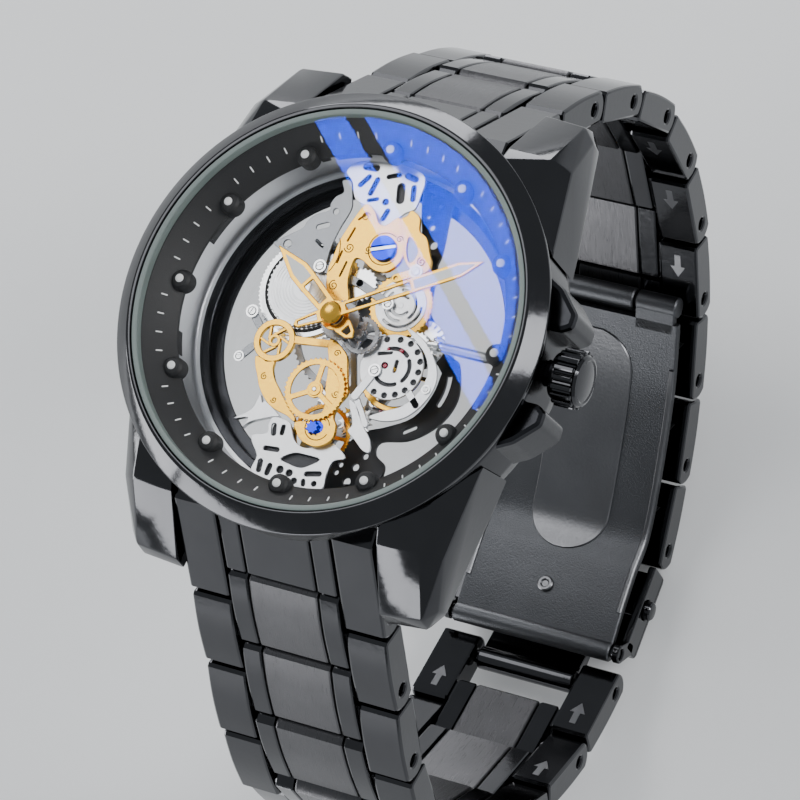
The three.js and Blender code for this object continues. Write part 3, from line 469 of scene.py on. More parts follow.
def coating(name, colour, alpha, roughness):
    """Clear glass that shows only its coloured reflection."""
    material = surface(name, colour, 1.0, roughness, 2.0, 0.004, tint=0.03)
    material.node_tree.nodes["Principled BSDF"].inputs["Alpha"].default_value = alpha
    return material


BRUSHED = (0.4, 14, 14)  # grain stretched along a link
POLISHED = (surface("black_polished", (0.055, 0.056, 0.06), 1.0, 0.10, 0.6, 0.03, bump=0.02), "black_steel")
SIDE = (surface("black_side", (0.035, 0.036, 0.04), 1.0, 0.24, 0.6, 0.05, bump=0.02), "black_steel")
BRUSH = (
    surface("black_brushed", (0.085, 0.085, 0.09), 1.0, 0.3, 0.14, 0.1, BRUSHED, 0.4, 0.2), "black_steel"
)
BLADE = (surface("blasted_steel", (0.085, 0.088, 0.095), 1.0, 0.4, 0.16, 0.08, bump=0.5), "satin_steel")
BLADE_EDGE = (surface("blade_edge", (0.14, 0.142, 0.15), 1.0, 0.32, 0.3, 0.06, bump=0.1), "satin_steel")
MATT = (surface("matt_black", (0.010, 0.010, 0.011), 0.0, 0.6, 0.2, 0.08, bump=0.15), "dial_black")
PLATE_BLACK = (surface("plate_black", (0.03, 0.03, 0.032), 0.7, 0.42, 0.15, 0.08, bump=0.15), "dial_black")
SILVER = (surface("silver_grained", (0.80, 0.81, 0.83), 1.0, 0.33, 0.1, 0.08, (1, 9, 1), 0.1), "silver_steel")
# Dark grey sheets laid under plates with openings: painted shade seen through the openings.
SHADE_SHEET = (surface("movement_shade_sheet", (0.07, 0.07, 0.075), 0.8, 0.45, 0.2, 0.08, bump=0.1), "dial_black")
BRIGHT = (surface("silver_bright", (0.88, 0.89, 0.91), 1.0, 0.2, 0.3, 0.05, bump=0.04), "silver_steel")
# Grained silver darkened for the lower, hidden parts of the movement: painted shade.
SHADOWED = (surface("silver_painted_shade", (0.3, 0.31, 0.33), 1.0, 0.36, 0.2, 0.08, bump=0.1), "silver_steel")
GOLD = (surface("gold_polished", (1.0, 0.53, 0.06), 1.0, 0.24, 0.3, 0.05, bump=0.04), "gold")
GOLD_LINE = (surface("gold_engraving", (0.17, 0.085, 0.014), 0.6, 0.5, 0.2, 0.08), "gold")
# Near-black for the holder's notches: painted shade in the recesses.
NOTCH_SHADE = (surface("notch_painted_shade", (0.03, 0.03, 0.032), 0.3, 0.55, 0.2, 0.08), "silver_steel")
BLUED = (surface("blued_steel", (0.008, 0.03, 0.62), 0.9, 0.14, 0.5, 0.03), "blued_steel")
RUBY = (surface("ruby", (0.45, 0.02, 0.06), 0.0, 0.08, 0.5, 0.02), "silver_steel")
LUME = (surface("lume", (0.86, 0.88, 0.87), 0.0, 0.55, 0.05, 0.1, bump=0.2, tint=0.04), "lume")
PAINT = (surface("white_paint", (0.9, 0.9, 0.9), 0.0, 0.45, 0.1, 0.05, tint=0.03), "lume")
RUBBER = (surface("gasket", (0.16, 0.20, 0.19), 0.0, 0.35, 0.2, 0.06, bump=0.05), "gasket")
CRYSTAL = (coating("coated_crystal", (0.9, 0.92, 1.0), 0.012, 0.0), "clear_glass")
CLEAR = (coating("clear_face", (0.9, 0.95, 0.93), 0.004, 0.0), "clear_glass")
REAR_GLASS = (coating("rear_glass", (0.75, 0.82, 0.9), 0.05, 0.02), "clear_glass")


# ---------- case ----------


def build_case():
    wall = lathe(rounded([
        (18.12, 0.05), (19.3, 0.05), (20.3, 1.3), (20.6, 3.0), (20.6, 8.1), (20.2, 8.75),
        (18.8, 8.75), (18.8, 6.9), (16.75, 6.9), (16.75, 1.5), (18.12, 1.5),
    ], 0.25), 160)
    body = drilled(wall, rod(1.25, 15, 23, 0, STEM_Z))
    lugs = [
        hull([(x * across, y * along, z) for x, y, z in LUG_CORNERS])
        for across in (1, -1) for along in (1, -1)
    ]
    guard = rounded([(17, 3.4), (21.5, 3.4), (22.45, 4.0), (22.45, 5.3), (20.4, 7.4), (17, 9.2)], 0.35)
    guards = [plate([[(x, y * side) for x, y in guard]], 2.2, 8.0, 0.5) for side in (1, -1)]
    piece("case_body", [body, *guards], "case", SIDE, ["case_middle"])
    piece("case_lugs", lugs, "case", POLISHED)


def build_bezel():
    low, high = box("bezel")
    outer = high.x
    profile = rounded([
        (19.13, low.z), (20.2, low.z), (outer, low.z + 0.4), (outer, low.z + 0.9),
        (19.5, high.z - 0.02), (19.13, high.z),
    ], 0.14)
    piece("bezel_ring", lathe(profile, 192), "case", POLISHED, ["bezel"])
    glass_low, glass_high = box("crystal")
    edge = 0.18
    glass = lathe([
        (0, glass_low.z), (glass_high.x, glass_low.z), (glass_high.x, glass_high.z - edge),
        (glass_high.x - edge, glass_high.z), (0, glass_high.z),
    ], 160)
    crystal = piece("crystal_front", glass, "case", CRYSTAL, ["crystal"])
    crystal.data.materials.append(CLEAR[0])
    for face in crystal.data.polygons:
        face.material_index = 0 if face.normal.z > 0.5 else 1
    gasket_low, gasket_high = box("crystal_gasket")
    ring = rounded([
        (18.52, gasket_low.z), (19.05, gasket_low.z), (19.05, gasket_high.z + 0.02), (18.52, gasket_high.z),
    ], 0.1)
    piece("crystal_seal", lathe(ring, 160), "case", RUBBER, ["crystal_gasket"])


def build_dial_ring():
    low, high = box("chapter_ring")
    inner, outer = 16.0, high.x
    slope_low, slope_high = 7.3, high.z
    ring = rounded([(inner, low.z), (outer, low.z), (outer, slope_high), (inner, slope_low)], 0.1)
    piece("dial_ring", lathe(ring, 192), "case", MATT, ["chapter_ring"])
    slope = math.atan2(slope_high - slope_low, outer - inner)
    ticks = []
    for minute in range(60):
        if minute % 5 == 0:
            continue
        mark = plate([slot(-0.27, 0, 0.27, 0, 0.13, 3)], -0.02, 0.05, 0.015)
        height = slope_low + (TICK_CIRCLE - inner) * math.tan(slope)
        tilt = Matrix.Rotation(-slope, 4, "Y")
        turn = Matrix.Rotation(math.radians(6 * minute), 4, "Z")
        ticks.append(moved(mark, turn @ Matrix.Translation((TICK_CIRCLE, 0, height)) @ tilt))
    piece("dial_minute_marks", ticks, "case", PAINT)
    dome = [(0, low.z), (1.02, low.z), (1.02, 8.0), (0.95, 8.25), (0.75, 8.48), (0.5, 8.58), (0, 8.62)]
    dot = [(0, 8.5), (0.4, 8.5), (0.4, 8.66), (0.3, 8.74), (0, 8.78)]
    places = [at(*polar(STUD_CIRCLE, 30 * hour)) for hour in range(12)]
    piece("dial_studs", [moved(lathe(dome, 32), place) for place in places], "case", MATT)
    piece("dial_stud_dots", [moved(lathe(dot, 20), place) for place in places], "case", PAINT)


def build_inner_walls():
    low, high = box("movement_ring")
    wall = rounded([
        (15.5, low.z), (16.62, low.z), (16.62, high.z), (16.2, high.z), (16.2, low.z + 0.5),
        (15.5, low.z + 0.5),
    ], 0.08)
    holder = drilled(lathe(wall, 160), rod(0.75, 14, 18, 0, STEM_Z))
    piece("movement_holder", holder, "case", SILVER, ["movement_ring"])
    lip = rounded([(14.9, 2.2), (15.75, 2.2), (15.75, 2.75), (14.9, 2.6)], 0.12)
    piece("movement_holder_lip", lathe(lip, 160), "case", SIDE)
    # Dark bands on the holder wall where it has notches: painted shade in the recesses.
    notches = []
    for start, end, z0, z1 in (
        (100, 112, 5.9, 6.8), (114, 117, 6.2, 6.8), (150, 164, 5.9, 6.8), (196, 204, 6.0, 6.8)
    ):
        notches.append(plate([ring_part(0, 0, 16.08, 16.3, start, end)], z0, z1, 0.03))
    piece("movement_holder_notches", notches, "case", NOTCH_SHADE)
    high = box("case_back")[1]
    back = rounded([
        (14.6, 0), (high.x, 0), (high.x, high.z), (13.9, high.z), (13.9, 1.1), (14.6, 1.1),
    ], 0.12)
    piece("case_back_ring", lathe(back, 160), "case", SIDE, ["case_back"])
    glass = lathe([(0, 0), (14.5, 0), (14.5, 1.0), (0, 1.0)], 128)
    piece("rear_window", glass, "case", REAR_GLASS, ["rear_crystal"])


def build_crown():
    low, high = box("crown")
    middle = (low.z + high.z) / 2
    radius = high.z - middle
    flutes = 18
    outline = []
    for i in range(flutes):
        for share, depth in (
            (0.04, 0.1), (0.14, 0.0), (0.42, 0.0), (0.52, 0.1), (0.62, 0.36), (0.78, 0.42), (0.94, 0.36)
        ):
            outline.append(polar(radius - depth, (i + share) * 360 / flutes, 0, middle))
    barrel = bar([outline], low.x + 0.45, high.x - 0.5, 0.16)
    cap = lathe([
        (0, high.x - 0.8), (radius - 0.45, high.x - 0.8), (radius - 0.3, high.x - 0.45),
        (radius - 0.45, high.x - 0.2),
        (radius - 0.7, high.x - 0.12), (radius - 0.85, high.x - 0.2), (radius - 1.4, high.x - 0.06),
        (0, high.x),
    ], 64)
    collar = lathe(
        [(0, low.x), (radius - 0.6, low.x), (radius - 0.5, low.x + 0.2), (radius - 0.5, low.x + 0.6),
         (0, low.x + 0.6)],
        48
    )
    on_axis = Matrix.Translation((0, 0, middle)) @ ALONG_X
    made = joined([barrel, moved(cap, on_axis), moved(collar, on_axis)])
    piece("crown_knob", made, "crown", POLISHED, ["crown"])
    stem_low, stem_high = box("winding_stem")
    profile = [(0, stem_low.x)]
    start, pitch = 9.9, 0.16
    profile += [(0.3, stem_low.x), (0.45, stem_low.x + 0.1), (0.45, start)]
    for i in range(28):
        profile += [(0.34, start + pitch * i + pitch * 0.5), (0.5, start + pitch * (i + 1))]
    profile += [(0.45, 14.6), (0.45, stem_high.x), (0, stem_high.x)]
    piece("crown_stem", moved(lathe(profile, 20), on_axis), "crown", BRIGHT, ["winding_stem"])


# ---------- gears ----------


def gear_loop(teeth, pitch_radius, phase=0.0):
    """A gear's outline; a tooth's tip lies at the phase angle, in degrees."""
    module = 2 * pitch_radius / teeth
    step = 360 / teeth
    tip = pitch_radius + 0.34 * module
    root = pitch_radius - 0.66 * module
    loop = []
    for i in range(teeth):
        for share, radius in (
            (-0.3, root), (-0.13, pitch_radius), (-0.05, tip), (0.05, tip), (0.13, pitch_radius), (0.3, root)
        ):
            loop.append(polar(radius, phase + (i + share) * step))
    return loop


def mesh_phase(phase, teeth, other_teeth, direction):
    """The phase, in degrees, that puts a gap of the second gear on a tooth of the first."""
    turns = (direction - phase) / 360 * teeth
    return direction + 180 - (0.5 - turns % 1) * 360 / other_teeth


def direction(a, b):
    return math.degrees(math.atan2(b.y - a.y, b.x - a.x))


def pitch_of(a, b, teeth, other_teeth):
    """The pitch radius of the first of two meshing gears."""
    apart = math.hypot(b.x - a.x, b.y - a.y)
    return apart * teeth / (teeth + other_teeth)


def spoke_windows(count, inner, outer, width, phase=0.0):
    step = 360 / count
    loops = []
    for i in range(count):
        middle = phase + (i + 0.5) * step
        wide = step / 2 - math.degrees(width / outer / 2)
        narrow = max(3, step / 2 - math.degrees(width / inner / 2))
        loop = arc(0, 0, outer, middle - wide, middle + wide, 16) + arc(
            0, 0, inner, middle + narrow, middle - narrow, 6
        )
        loops.append(rounded(loop, 0.12, 2))
    return loops


CENTRE = Vector((0, 0, 0))
BARREL = pivot("barrel_turn")
THIRD = pivot("third_wheel_turn")
FOURTH = pivot("fourth_wheel_turn")
ESCAPE = pivot("escape_wheel_turn")
PALLET = pivot("pallet_rock")
BALANCE = pivot("balance_swing")
MINUTE = pivot("minute_wheel_turn")
CONTRATE = pivot("crown_wheel_turn")
WINDING = pivot("winding_wheel_turn")
IDLER = pivot("winding_idler_turn")


# Phases of the toothed wheels, in degrees
CENTRE_PINION_PHASE = mesh_phase(0, 76, 12, direction(BARREL, CENTRE))
THIRD_PINION_PHASE = mesh_phase(0, 64, 8, direction(CENTRE, THIRD))
FOURTH_PINION_PHASE = mesh_phase(0, 40, 8, direction(THIRD, FOURTH))
ESCAPE_PINION_PHASE = mesh_phase(0, 56, 7, direction(FOURTH, ESCAPE))
MINUTE_PHASE = mesh_phase(0, 12, 36, direction(CENTRE, MINUTE))
HOUR_PHASE = mesh_phase(0, 10, 40, direction(MINUTE, CENTRE))
WINDING_PHASE = mesh_phase(0, 13, 40, direction(CONTRATE, WINDING))
IDLER_PHASE = mesh_phase(WINDING_PHASE, 40, 20, direction(WINDING, IDLER))
RATCHET_PHASE = mesh_phase(IDLER_PHASE, 20, 50, direction(IDLER, BARREL))


def arbor(radius, z0, z1, sides=20):
    return lathe(button_profile(radius, z0, z1, 0.05), sides)


def grooved_disc(inner, outer, z0, z1, grooves, depth=0.05):
    """A disc with turned grooves in its top."""
    profile = [(inner, z0), (outer, z0), (outer, z1 - 0.03), (outer - 0.03, z1)]
    for radius in sorted(grooves, reverse=True):
        profile += [
            (radius + 0.06, z1), (radius + 0.03, z1 - depth), (radius - 0.03, z1 - depth), (radius - 0.06, z1)
        ]
    profile.append((inner, z1))
    return lathe(profile, 96)


def build_barrel_and_winding():
    place = at(BARREL.x, BARREL.y)
    pitch = pitch_of(BARREL, CENTRE, 76, 12)
    drum = joined([
        grooved_disc(0.6, 4.72, 3.95, 4.85, [4.55, 4.4]),
        plate([gear_loop(76, pitch), circle(0, 0, 4.5, 64)], 4.2, 4.45, 0.03),
    ])
    piece("barrel_drum", moved(drum, place), "barrel", BRIGHT, ["mainspring_barrel"])
    # A matt black ring in the gap round the barrel: painted shade in the groove.
    groove = lathe([(3.95, 4.8), (4.28, 4.8), (4.28, 4.875), (3.95, 4.875)], 96)
    piece("barrel_groove_shade", moved(groove, place), "barrel", MATT)

    rim = pitch_of(BARREL, IDLER, 50, 20)
    wheel = joined([
        plate([gear_loop(50, rim, RATCHET_PHASE), circle(0, 0, rim - 0.45, 64)], 5.0, 5.25, 0.03),
        grooved_disc(0.0, rim - 0.4, 5.0, 5.24, [3.2, 2.9, 2.6, 2.3, 2.0, 1.7, 1.4], 0.04),
        arbor(0.5, 3.8, 5.1),
    ])
    piece("ratchet", moved(wheel, place), "ratchet_wheel", SILVER, ["ratchet_wheel"])
    square = plate([rounded([(-0.5, -0.5), (0.5, -0.5), (0.5, 0.5), (-0.5, 0.5)], 0.1, 2)], 5.2, 5.5)
    piece("ratchet_square", moved(square, place), "ratchet_wheel", BRIGHT)

    small = pitch_of(IDLER, WINDING, 20, 40)
    idler = joined([
        plate([gear_loop(20, small, IDLER_PHASE), circle(0, 0, 0.3, 20)], 5.0, 5.25, 0.03),
        arbor(0.3, 4.9, 5.32),
    ])
    piece("idler", moved(idler, at(IDLER.x, IDLER.y)), "winding_idler", BRIGHT, ["winding_idler"])

    wide = pitch_of(WINDING, IDLER, 40, 20)
    place = at(WINDING.x, WINDING.y)
    ring = plate([gear_loop(40, wide, WINDING_PHASE), circle(0, 0, 2.45, 48)], 5.0, 5.22, 0.03)
    piece("winding_ring", moved(ring, place), "winding_wheel", GOLD, ["winding_wheel"])
    loops = [circle(0, 0, 2.5, 64)]
    for radius, start, end in (
        (2.05, 60, 190), (2.05, 235, 365), (1.5, -40, 100), (1.5, 140, 280), (0.95, 60, 330)
    ):
        loops.append(arc_slot(0, 0, radius, 0.24, start, end))
    face = joined([plate(loops, 5.06, 5.31, 0.03), arbor(0.3, 5.0, 5.33)])
    piece("winding_face", moved(face, place), "winding_wheel", SILVER)

    place = at(CONTRATE.x, CONTRATE.y)
    teeth = []
    for i in range(24):
        middle = (i + 0.5) * 15
        teeth.append(plate([ring_part(0, 0, 1.9, 2.35, middle - 2.6, middle + 2.6, 2)], 4.57, 4.8, 0.02))
    upright = joined([
        plate([circle(0, 0, 2.4, 64), circle(0, 0, 1.0, 32)], 4.5, 4.6, 0.02), *teeth,
        plate([gear_loop(13, pitch_of(CONTRATE, WINDING, 13, 40)), circle(0, 0, 0.2, 12)], 4.5, 5.28, 0.03),
        arbor(0.22, 5.0, 5.6),
    ])
    piece("crown_wheel_toothed", moved(upright, place), "crown_wheel", BRIGHT, ["crown_wheel"])

    outline = []
    for i in range(10):
        for share, radius in ((-0.16, 0.93), (0.16, 0.93), (0.3, 0.66), (0.7, 0.66)):
            outline.append(polar(radius, (i + share) * 36 - 90, 0, STEM_Z))
    pinion = bar([outline, circle(0, STEM_Z, 0.53, 24)], 9.15, 9.75, 0.03)
    piece("stem_pinion", pinion, "winding_pinion", BRIGHT, ["winding_pinion"])


def build_train():
    wide = pitch_of(CENTRE, THIRD, 64, 8)
    centre = [
        plate([gear_loop(64, wide), *spoke_windows(4, 1.5, wide - 0.7, 0.6, 20)], 3.4, 3.65, 0.03),
        plate([gear_loop(12, pitch_of(CENTRE, BARREL, 12, 76), CENTRE_PINION_PHASE)], 3.6, 4.9, 0.03),
        arbor(0.45, 3.15, 3.5), arbor(0.22, 2.6, 3.3), arbor(0.32, 4.8, 9.1),
    ]
    piece("centre_wheel_spoked", centre, "centre_arbor", SHADOWED, ["centre_wheel"])

    place = at(THIRD.x, THIRD.y)
    gold = pitch_of(THIRD, FOURTH, 40, 8)
    wheel = joined([
        plate([gear_loop(40, gold), *spoke_windows(3, 0.8, gold - 0.62, 0.5, 90)], 6.3, 6.5, 0.035),
        plate([circle(0, 0, 0.62, 32), circle(0, 0, 0.22, 16)], 6.45, 6.6, 0.03),
    ])
    piece("third_wheel_gold", moved(wheel, place), "third_wheel", GOLD, ["third_wheel"])
    shaft = joined([
        arbor(0.2, 2.6, 6.66),
        plate([gear_loop(8, pitch_of(THIRD, CENTRE, 8, 64), THIRD_PINION_PHASE)], 3.3, 3.8, 0.03),
    ])
    piece("third_wheel_arbor", moved(shaft, place), "third_wheel", BRIGHT)

    place = at(FOURTH.x, FOURTH.y)
    rim = pitch_of(FOURTH, ESCAPE, 56, 7)
    wheel = plate([gear_loop(56, rim), *spoke_windows(4, 0.7, rim - 0.45, 0.35)], 4.1, 4.3, 0.03)
    piece("fourth_wheel_gold", moved(wheel, place), "fourth_wheel", GOLD, ["fourth_wheel"])
    shaft = joined([
        arbor(0.2, 2.6, 6.4),
        plate([gear_loop(8, pitch_of(FOURTH, THIRD, 8, 40), FOURTH_PINION_PHASE)], 6.25, 6.6, 0.03),
    ])
    piece("fourth_wheel_pinion", moved(shaft, place), "fourth_wheel", BLUED)

    place = at(ESCAPE.x, ESCAPE.y)
    teeth = []
    for i in range(15):
        teeth += [
            polar(1.75, 24 * i), polar(1.72, 24 * i + 2.2), polar(1.36, 24 * i + 6), polar(1.33, 24 * i + 16)
        ]
        teeth.append(polar(1.5, 24 * i + 21.5))
    wheel = joined([
        plate([teeth, *spoke_windows(4, 0.5, 1.1, 0.25)], *LOW_LAYER, 0.02),
        plate([gear_loop(7, pitch_of(ESCAPE, FOURTH, 7, 56), ESCAPE_PINION_PHASE)], 4.0, 4.4, 0.02),
        arbor(0.18, 2.6, 5.55),
    ])
    piece("escape_wheel_toothed", moved(wheel, place), "escape_wheel", BRIGHT, ["escape_wheel"])

    facing = at(PALLET.x, PALLET.y, 0, direction(PALLET, BALANCE))
    fork = joined([
        plate([smooth([
            (-0.35, -0.3), (-0.35, 0.3), (0.6, 0.2), (2.3, 0.16), (2.3, -0.16), (0.6, -0.2),
        ], 4)], *LOW_LAYER, 0.03),
        plate([rounded([
            (2.15, -0.36), (2.8, -0.34), (2.8, -0.18), (2.5, -0.15), (2.5, 0.15), (2.8, 0.18), (2.8, 0.34),
            (2.15, 0.36),
        ], 0.08, 2)], *LOW_LAYER, 0.03),
        plate([ring_part(1.15, 0, 1.05, 1.45, 130, 230, 12)], *LOW_LAYER, 0.03),
        arbor(0.2, 2.6, 3.95),
    ])
    piece("pallet_fork_steel", moved(fork, facing), "pallet_fork", BRIGHT, ["pallet_fork"])
    stones = []
    for y in (-1.05, 1.05):
        stone = [(-0.2, y - 0.1), (0.2, y - 0.1), (0.2, y + 0.1), (-0.2, y + 0.1)]
        stones.append(plate([rounded(stone, 0.04, 2)], 3.36, 3.66, 0.02))
    piece("pallet_stones", moved(joined(stones), facing), "pallet_fork", RUBY)


def build_balance():
    place = at(BALANCE.x, BALANCE.y)
    wheel = joined([
        plate([circle(0, 0, 3.68, 96), *spoke_windows(3, 0.7, 3.2, 0.4)], 4.1, 4.45, 0.05),
        arbor(0.5, 3.7, 4.2), arbor(0.2, 2.6, 5.9),
    ])
    piece("balance_rim", moved(wheel, place), "balance", GOLD, ["balance_wheel"])
    steps = 140
    path = [polar(0.85 + 1.5 * i / steps, 3.5 * 360 * i / steps) for i in range(steps + 1)]
    piece("balance_spring", moved(wire(path, 0.055, 3.87), place), "balance", BLUED, ["hairspring"])


def build_motion_work():
    small = pitch_of(CENTRE, MINUTE, 12, 36)
    cannon = [
        plate([gear_loop(12, small), circle(0, 0, 0.4, 20)], 6.35, 6.7, 0.03),
        lathe([(0.4, 6.6), (0.56, 6.6), (0.56, 8.85), (0.4, 8.85)], 24),
    ]
    piece("cannon_tube", cannon, "centre_arbor", BRIGHT, ["cannon_pinion"])
    place = at(MINUTE.x, MINUTE.y)
    wide = pitch_of(MINUTE, CENTRE, 36, 12)
    wheel = joined([
        plate([
            gear_loop(36, wide, MINUTE_PHASE), *spoke_windows(4, 0.65, wide - 0.45, 0.35),
        ], 6.35, 6.55, 0.03),
        plate([gear_loop(10, 0.48)], 6.5, 7.05, 0.03), arbor(0.22, 5.3, 6.4),
    ])
    piece("minute_wheel_steel", moved(wheel, place), "minute_wheel", SHADOWED, ["minute_wheel"])
    hour = [
        plate([gear_loop(40, 1.92, HOUR_PHASE), circle(0, 0, 0.7, 32)], 6.8, 7.0, 0.03),
        lathe([(0.66, 6.9), (0.85, 6.9), (0.85, 8.15), (0.66, 8.15)], 32),
    ]
    piece("hour_wheel_steel", hour, "hour_hand", SHADOWED, ["hour_wheel"])


# ---------- screws, jewels and engraving ----------


def screw(x, y, z, radius, turn, height=0.3):
    """A round head with a slot across it, standing on z."""
    head = lathe(button_profile(radius, z, z + height * 0.6, 0.05), 32)
    half = [polar(radius, angle) for angle in spread(12, 168, 14)]
    upper = plate([half], z + height * 0.5, z + height, 0.04)
    lower = moved(upper, Matrix.Rotation(math.pi, 4, "Z"))
    return moved(joined([head, upper, lower]), at(x, y, 0, turn))


def ringed_screw(x, y, z, radius, turn):
    """A slotted screw in a raised ring."""
    inner, top, foot = radius * 0.72, z + 0.16, z - 0.05
    ring = moved(lathe([(inner, foot), (radius, foot), (radius, top), (inner, top)], 32), at(x, y))
    return joined([ring, screw(x, y, z, radius * 0.6, turn, 0.2)])


# ---------- plates and bridges ----------


def build_support_plate():
    strip = [
        (1.7, 15.5), (4.5, 15.2), (5.0, 12.4), (5.4, 8.8), (4.6, 7.6), (3.4, 8.6), (2.7, 11.0), (1.9, 13.2)
    ]
    strip_holes = [(3.6, 11.5, 0.3), (4.3, 9.9, 0.4), (2.9, 12.4, 0.2), (2.8, 14.4, 0.3), (3.9, 13.6, 0.3)]
    sweep = [
        (9.4, -0.4), (10.5, -0.3), (11.5, -3.1), (11.1, -5.4), (9.8, -7.2), (8.0, -8.5), (5.6, -9.2),
        (5.5, -10.4),
        (6.7, -11.2), (6.6, -12.6), (4.6, -14.0), (1.7, -14.7), (1.7, -12.0), (2.3, -10.4), (3.5, -8.7),
        (5.6, -7.7),
        (7.9, -6.2), (9.0, -3.8), (9.2, -1.6),
    ]
    sweep_holes = [
        (2.5, -12.1, 0.25), (2.3, -12.9, 0.25), (4.0, -12.0, 0.35), (4.6, -10.8, 0.3), (3.6, -13.5, 0.4)
    ]
    shape = [
        plate([smooth(strip, 4), *[circle(x, y, r, 16) for x, y, r in strip_holes]], 1.98, 2.4),
        plate([smooth(sweep, 4), arc_slot(5.0, -2.9, 5.2, 0.5, -18, 16), slot(8.4, -7.1, 7.5, -7.75, 0.4),
               *[circle(x, y, r, 16) for x, y, r in sweep_holes]], 1.98, 2.4),
        strap(4.5, 8.2, 5.4, 3.2, 1.6, 1.98, 2.4), strap(5.4, 3.2, 9.7, -1.0, 1.6, 1.98, 2.4),
    ]
    piece("support_plate_black", shape, "case", PLATE_BLACK, ["support_plate"])


def strap(ax, ay, bx, by, width, z0, z1, edge=EDGE):
    return plate([slot(ax, ay, bx, by, width)], z0, z1, edge)


def straps(z0, z1, rows):
    """Straps of one height: each row is the two ends' x and y, and the width."""
    return [strap(*row, z0, z1) for row in rows]


def discs(radius, z0, z1, points):
    return [disc(point.x, point.y, radius, z0, z1) for point in points]


def build_mainplate():
    z0, z1 = heights("mainplate")
    arms = straps(z0, z1, (
        (0, 0, *THIRD.xy, 1.7), (0, 0, -1.2, 14.6, 1.9), (*THIRD.xy, -1.0, -14.4, 1.9),
        (*ESCAPE.xy, *FOURTH.xy, 1.3), (*PALLET.xy, *ESCAPE.xy, 1.2), (*PALLET.xy, *BALANCE.xy, 1.2),
        (*BALANCE.xy, 0, 0, 1.2), (0, 0, *BARREL.xy, 1.4),
    ))
    bosses = discs(0.95, z0, z1 + 0.02, (CENTRE, THIRD, FOURTH, ESCAPE, PALLET, BALANCE))
    piece("mainplate_arms", arms + bosses, "case", SHADOWED, ["mainplate"])
    leaf = smooth([
        (-7.3, -7.7), (-7.6, -9.2), (-9.1, -10.5), (-7.7, -10.1), (-7.9, -11.1), (-7.3, -10.4), (-5.4, -9.5),
        (-4.7, -9.2), (-6.5, -8.2), (-6.8, -8.4),
    ], 4)
    piece("mainplate_leaf", plate([leaf], z0, z1), "case", SILVER)
    piece("mainplate_jewels", discs(0.4, z1 - 0.1, z1 + 0.06, (FOURTH, ESCAPE, PALLET)), "case", RUBY)


def shrunk(loop, share):
    """The loop scaled about its middle."""
    middle = sum((Vector(p) for p in loop), Vector((0, 0))) / len(loop)
    return [tuple(middle + (Vector(p) - middle) * share) for p in loop]


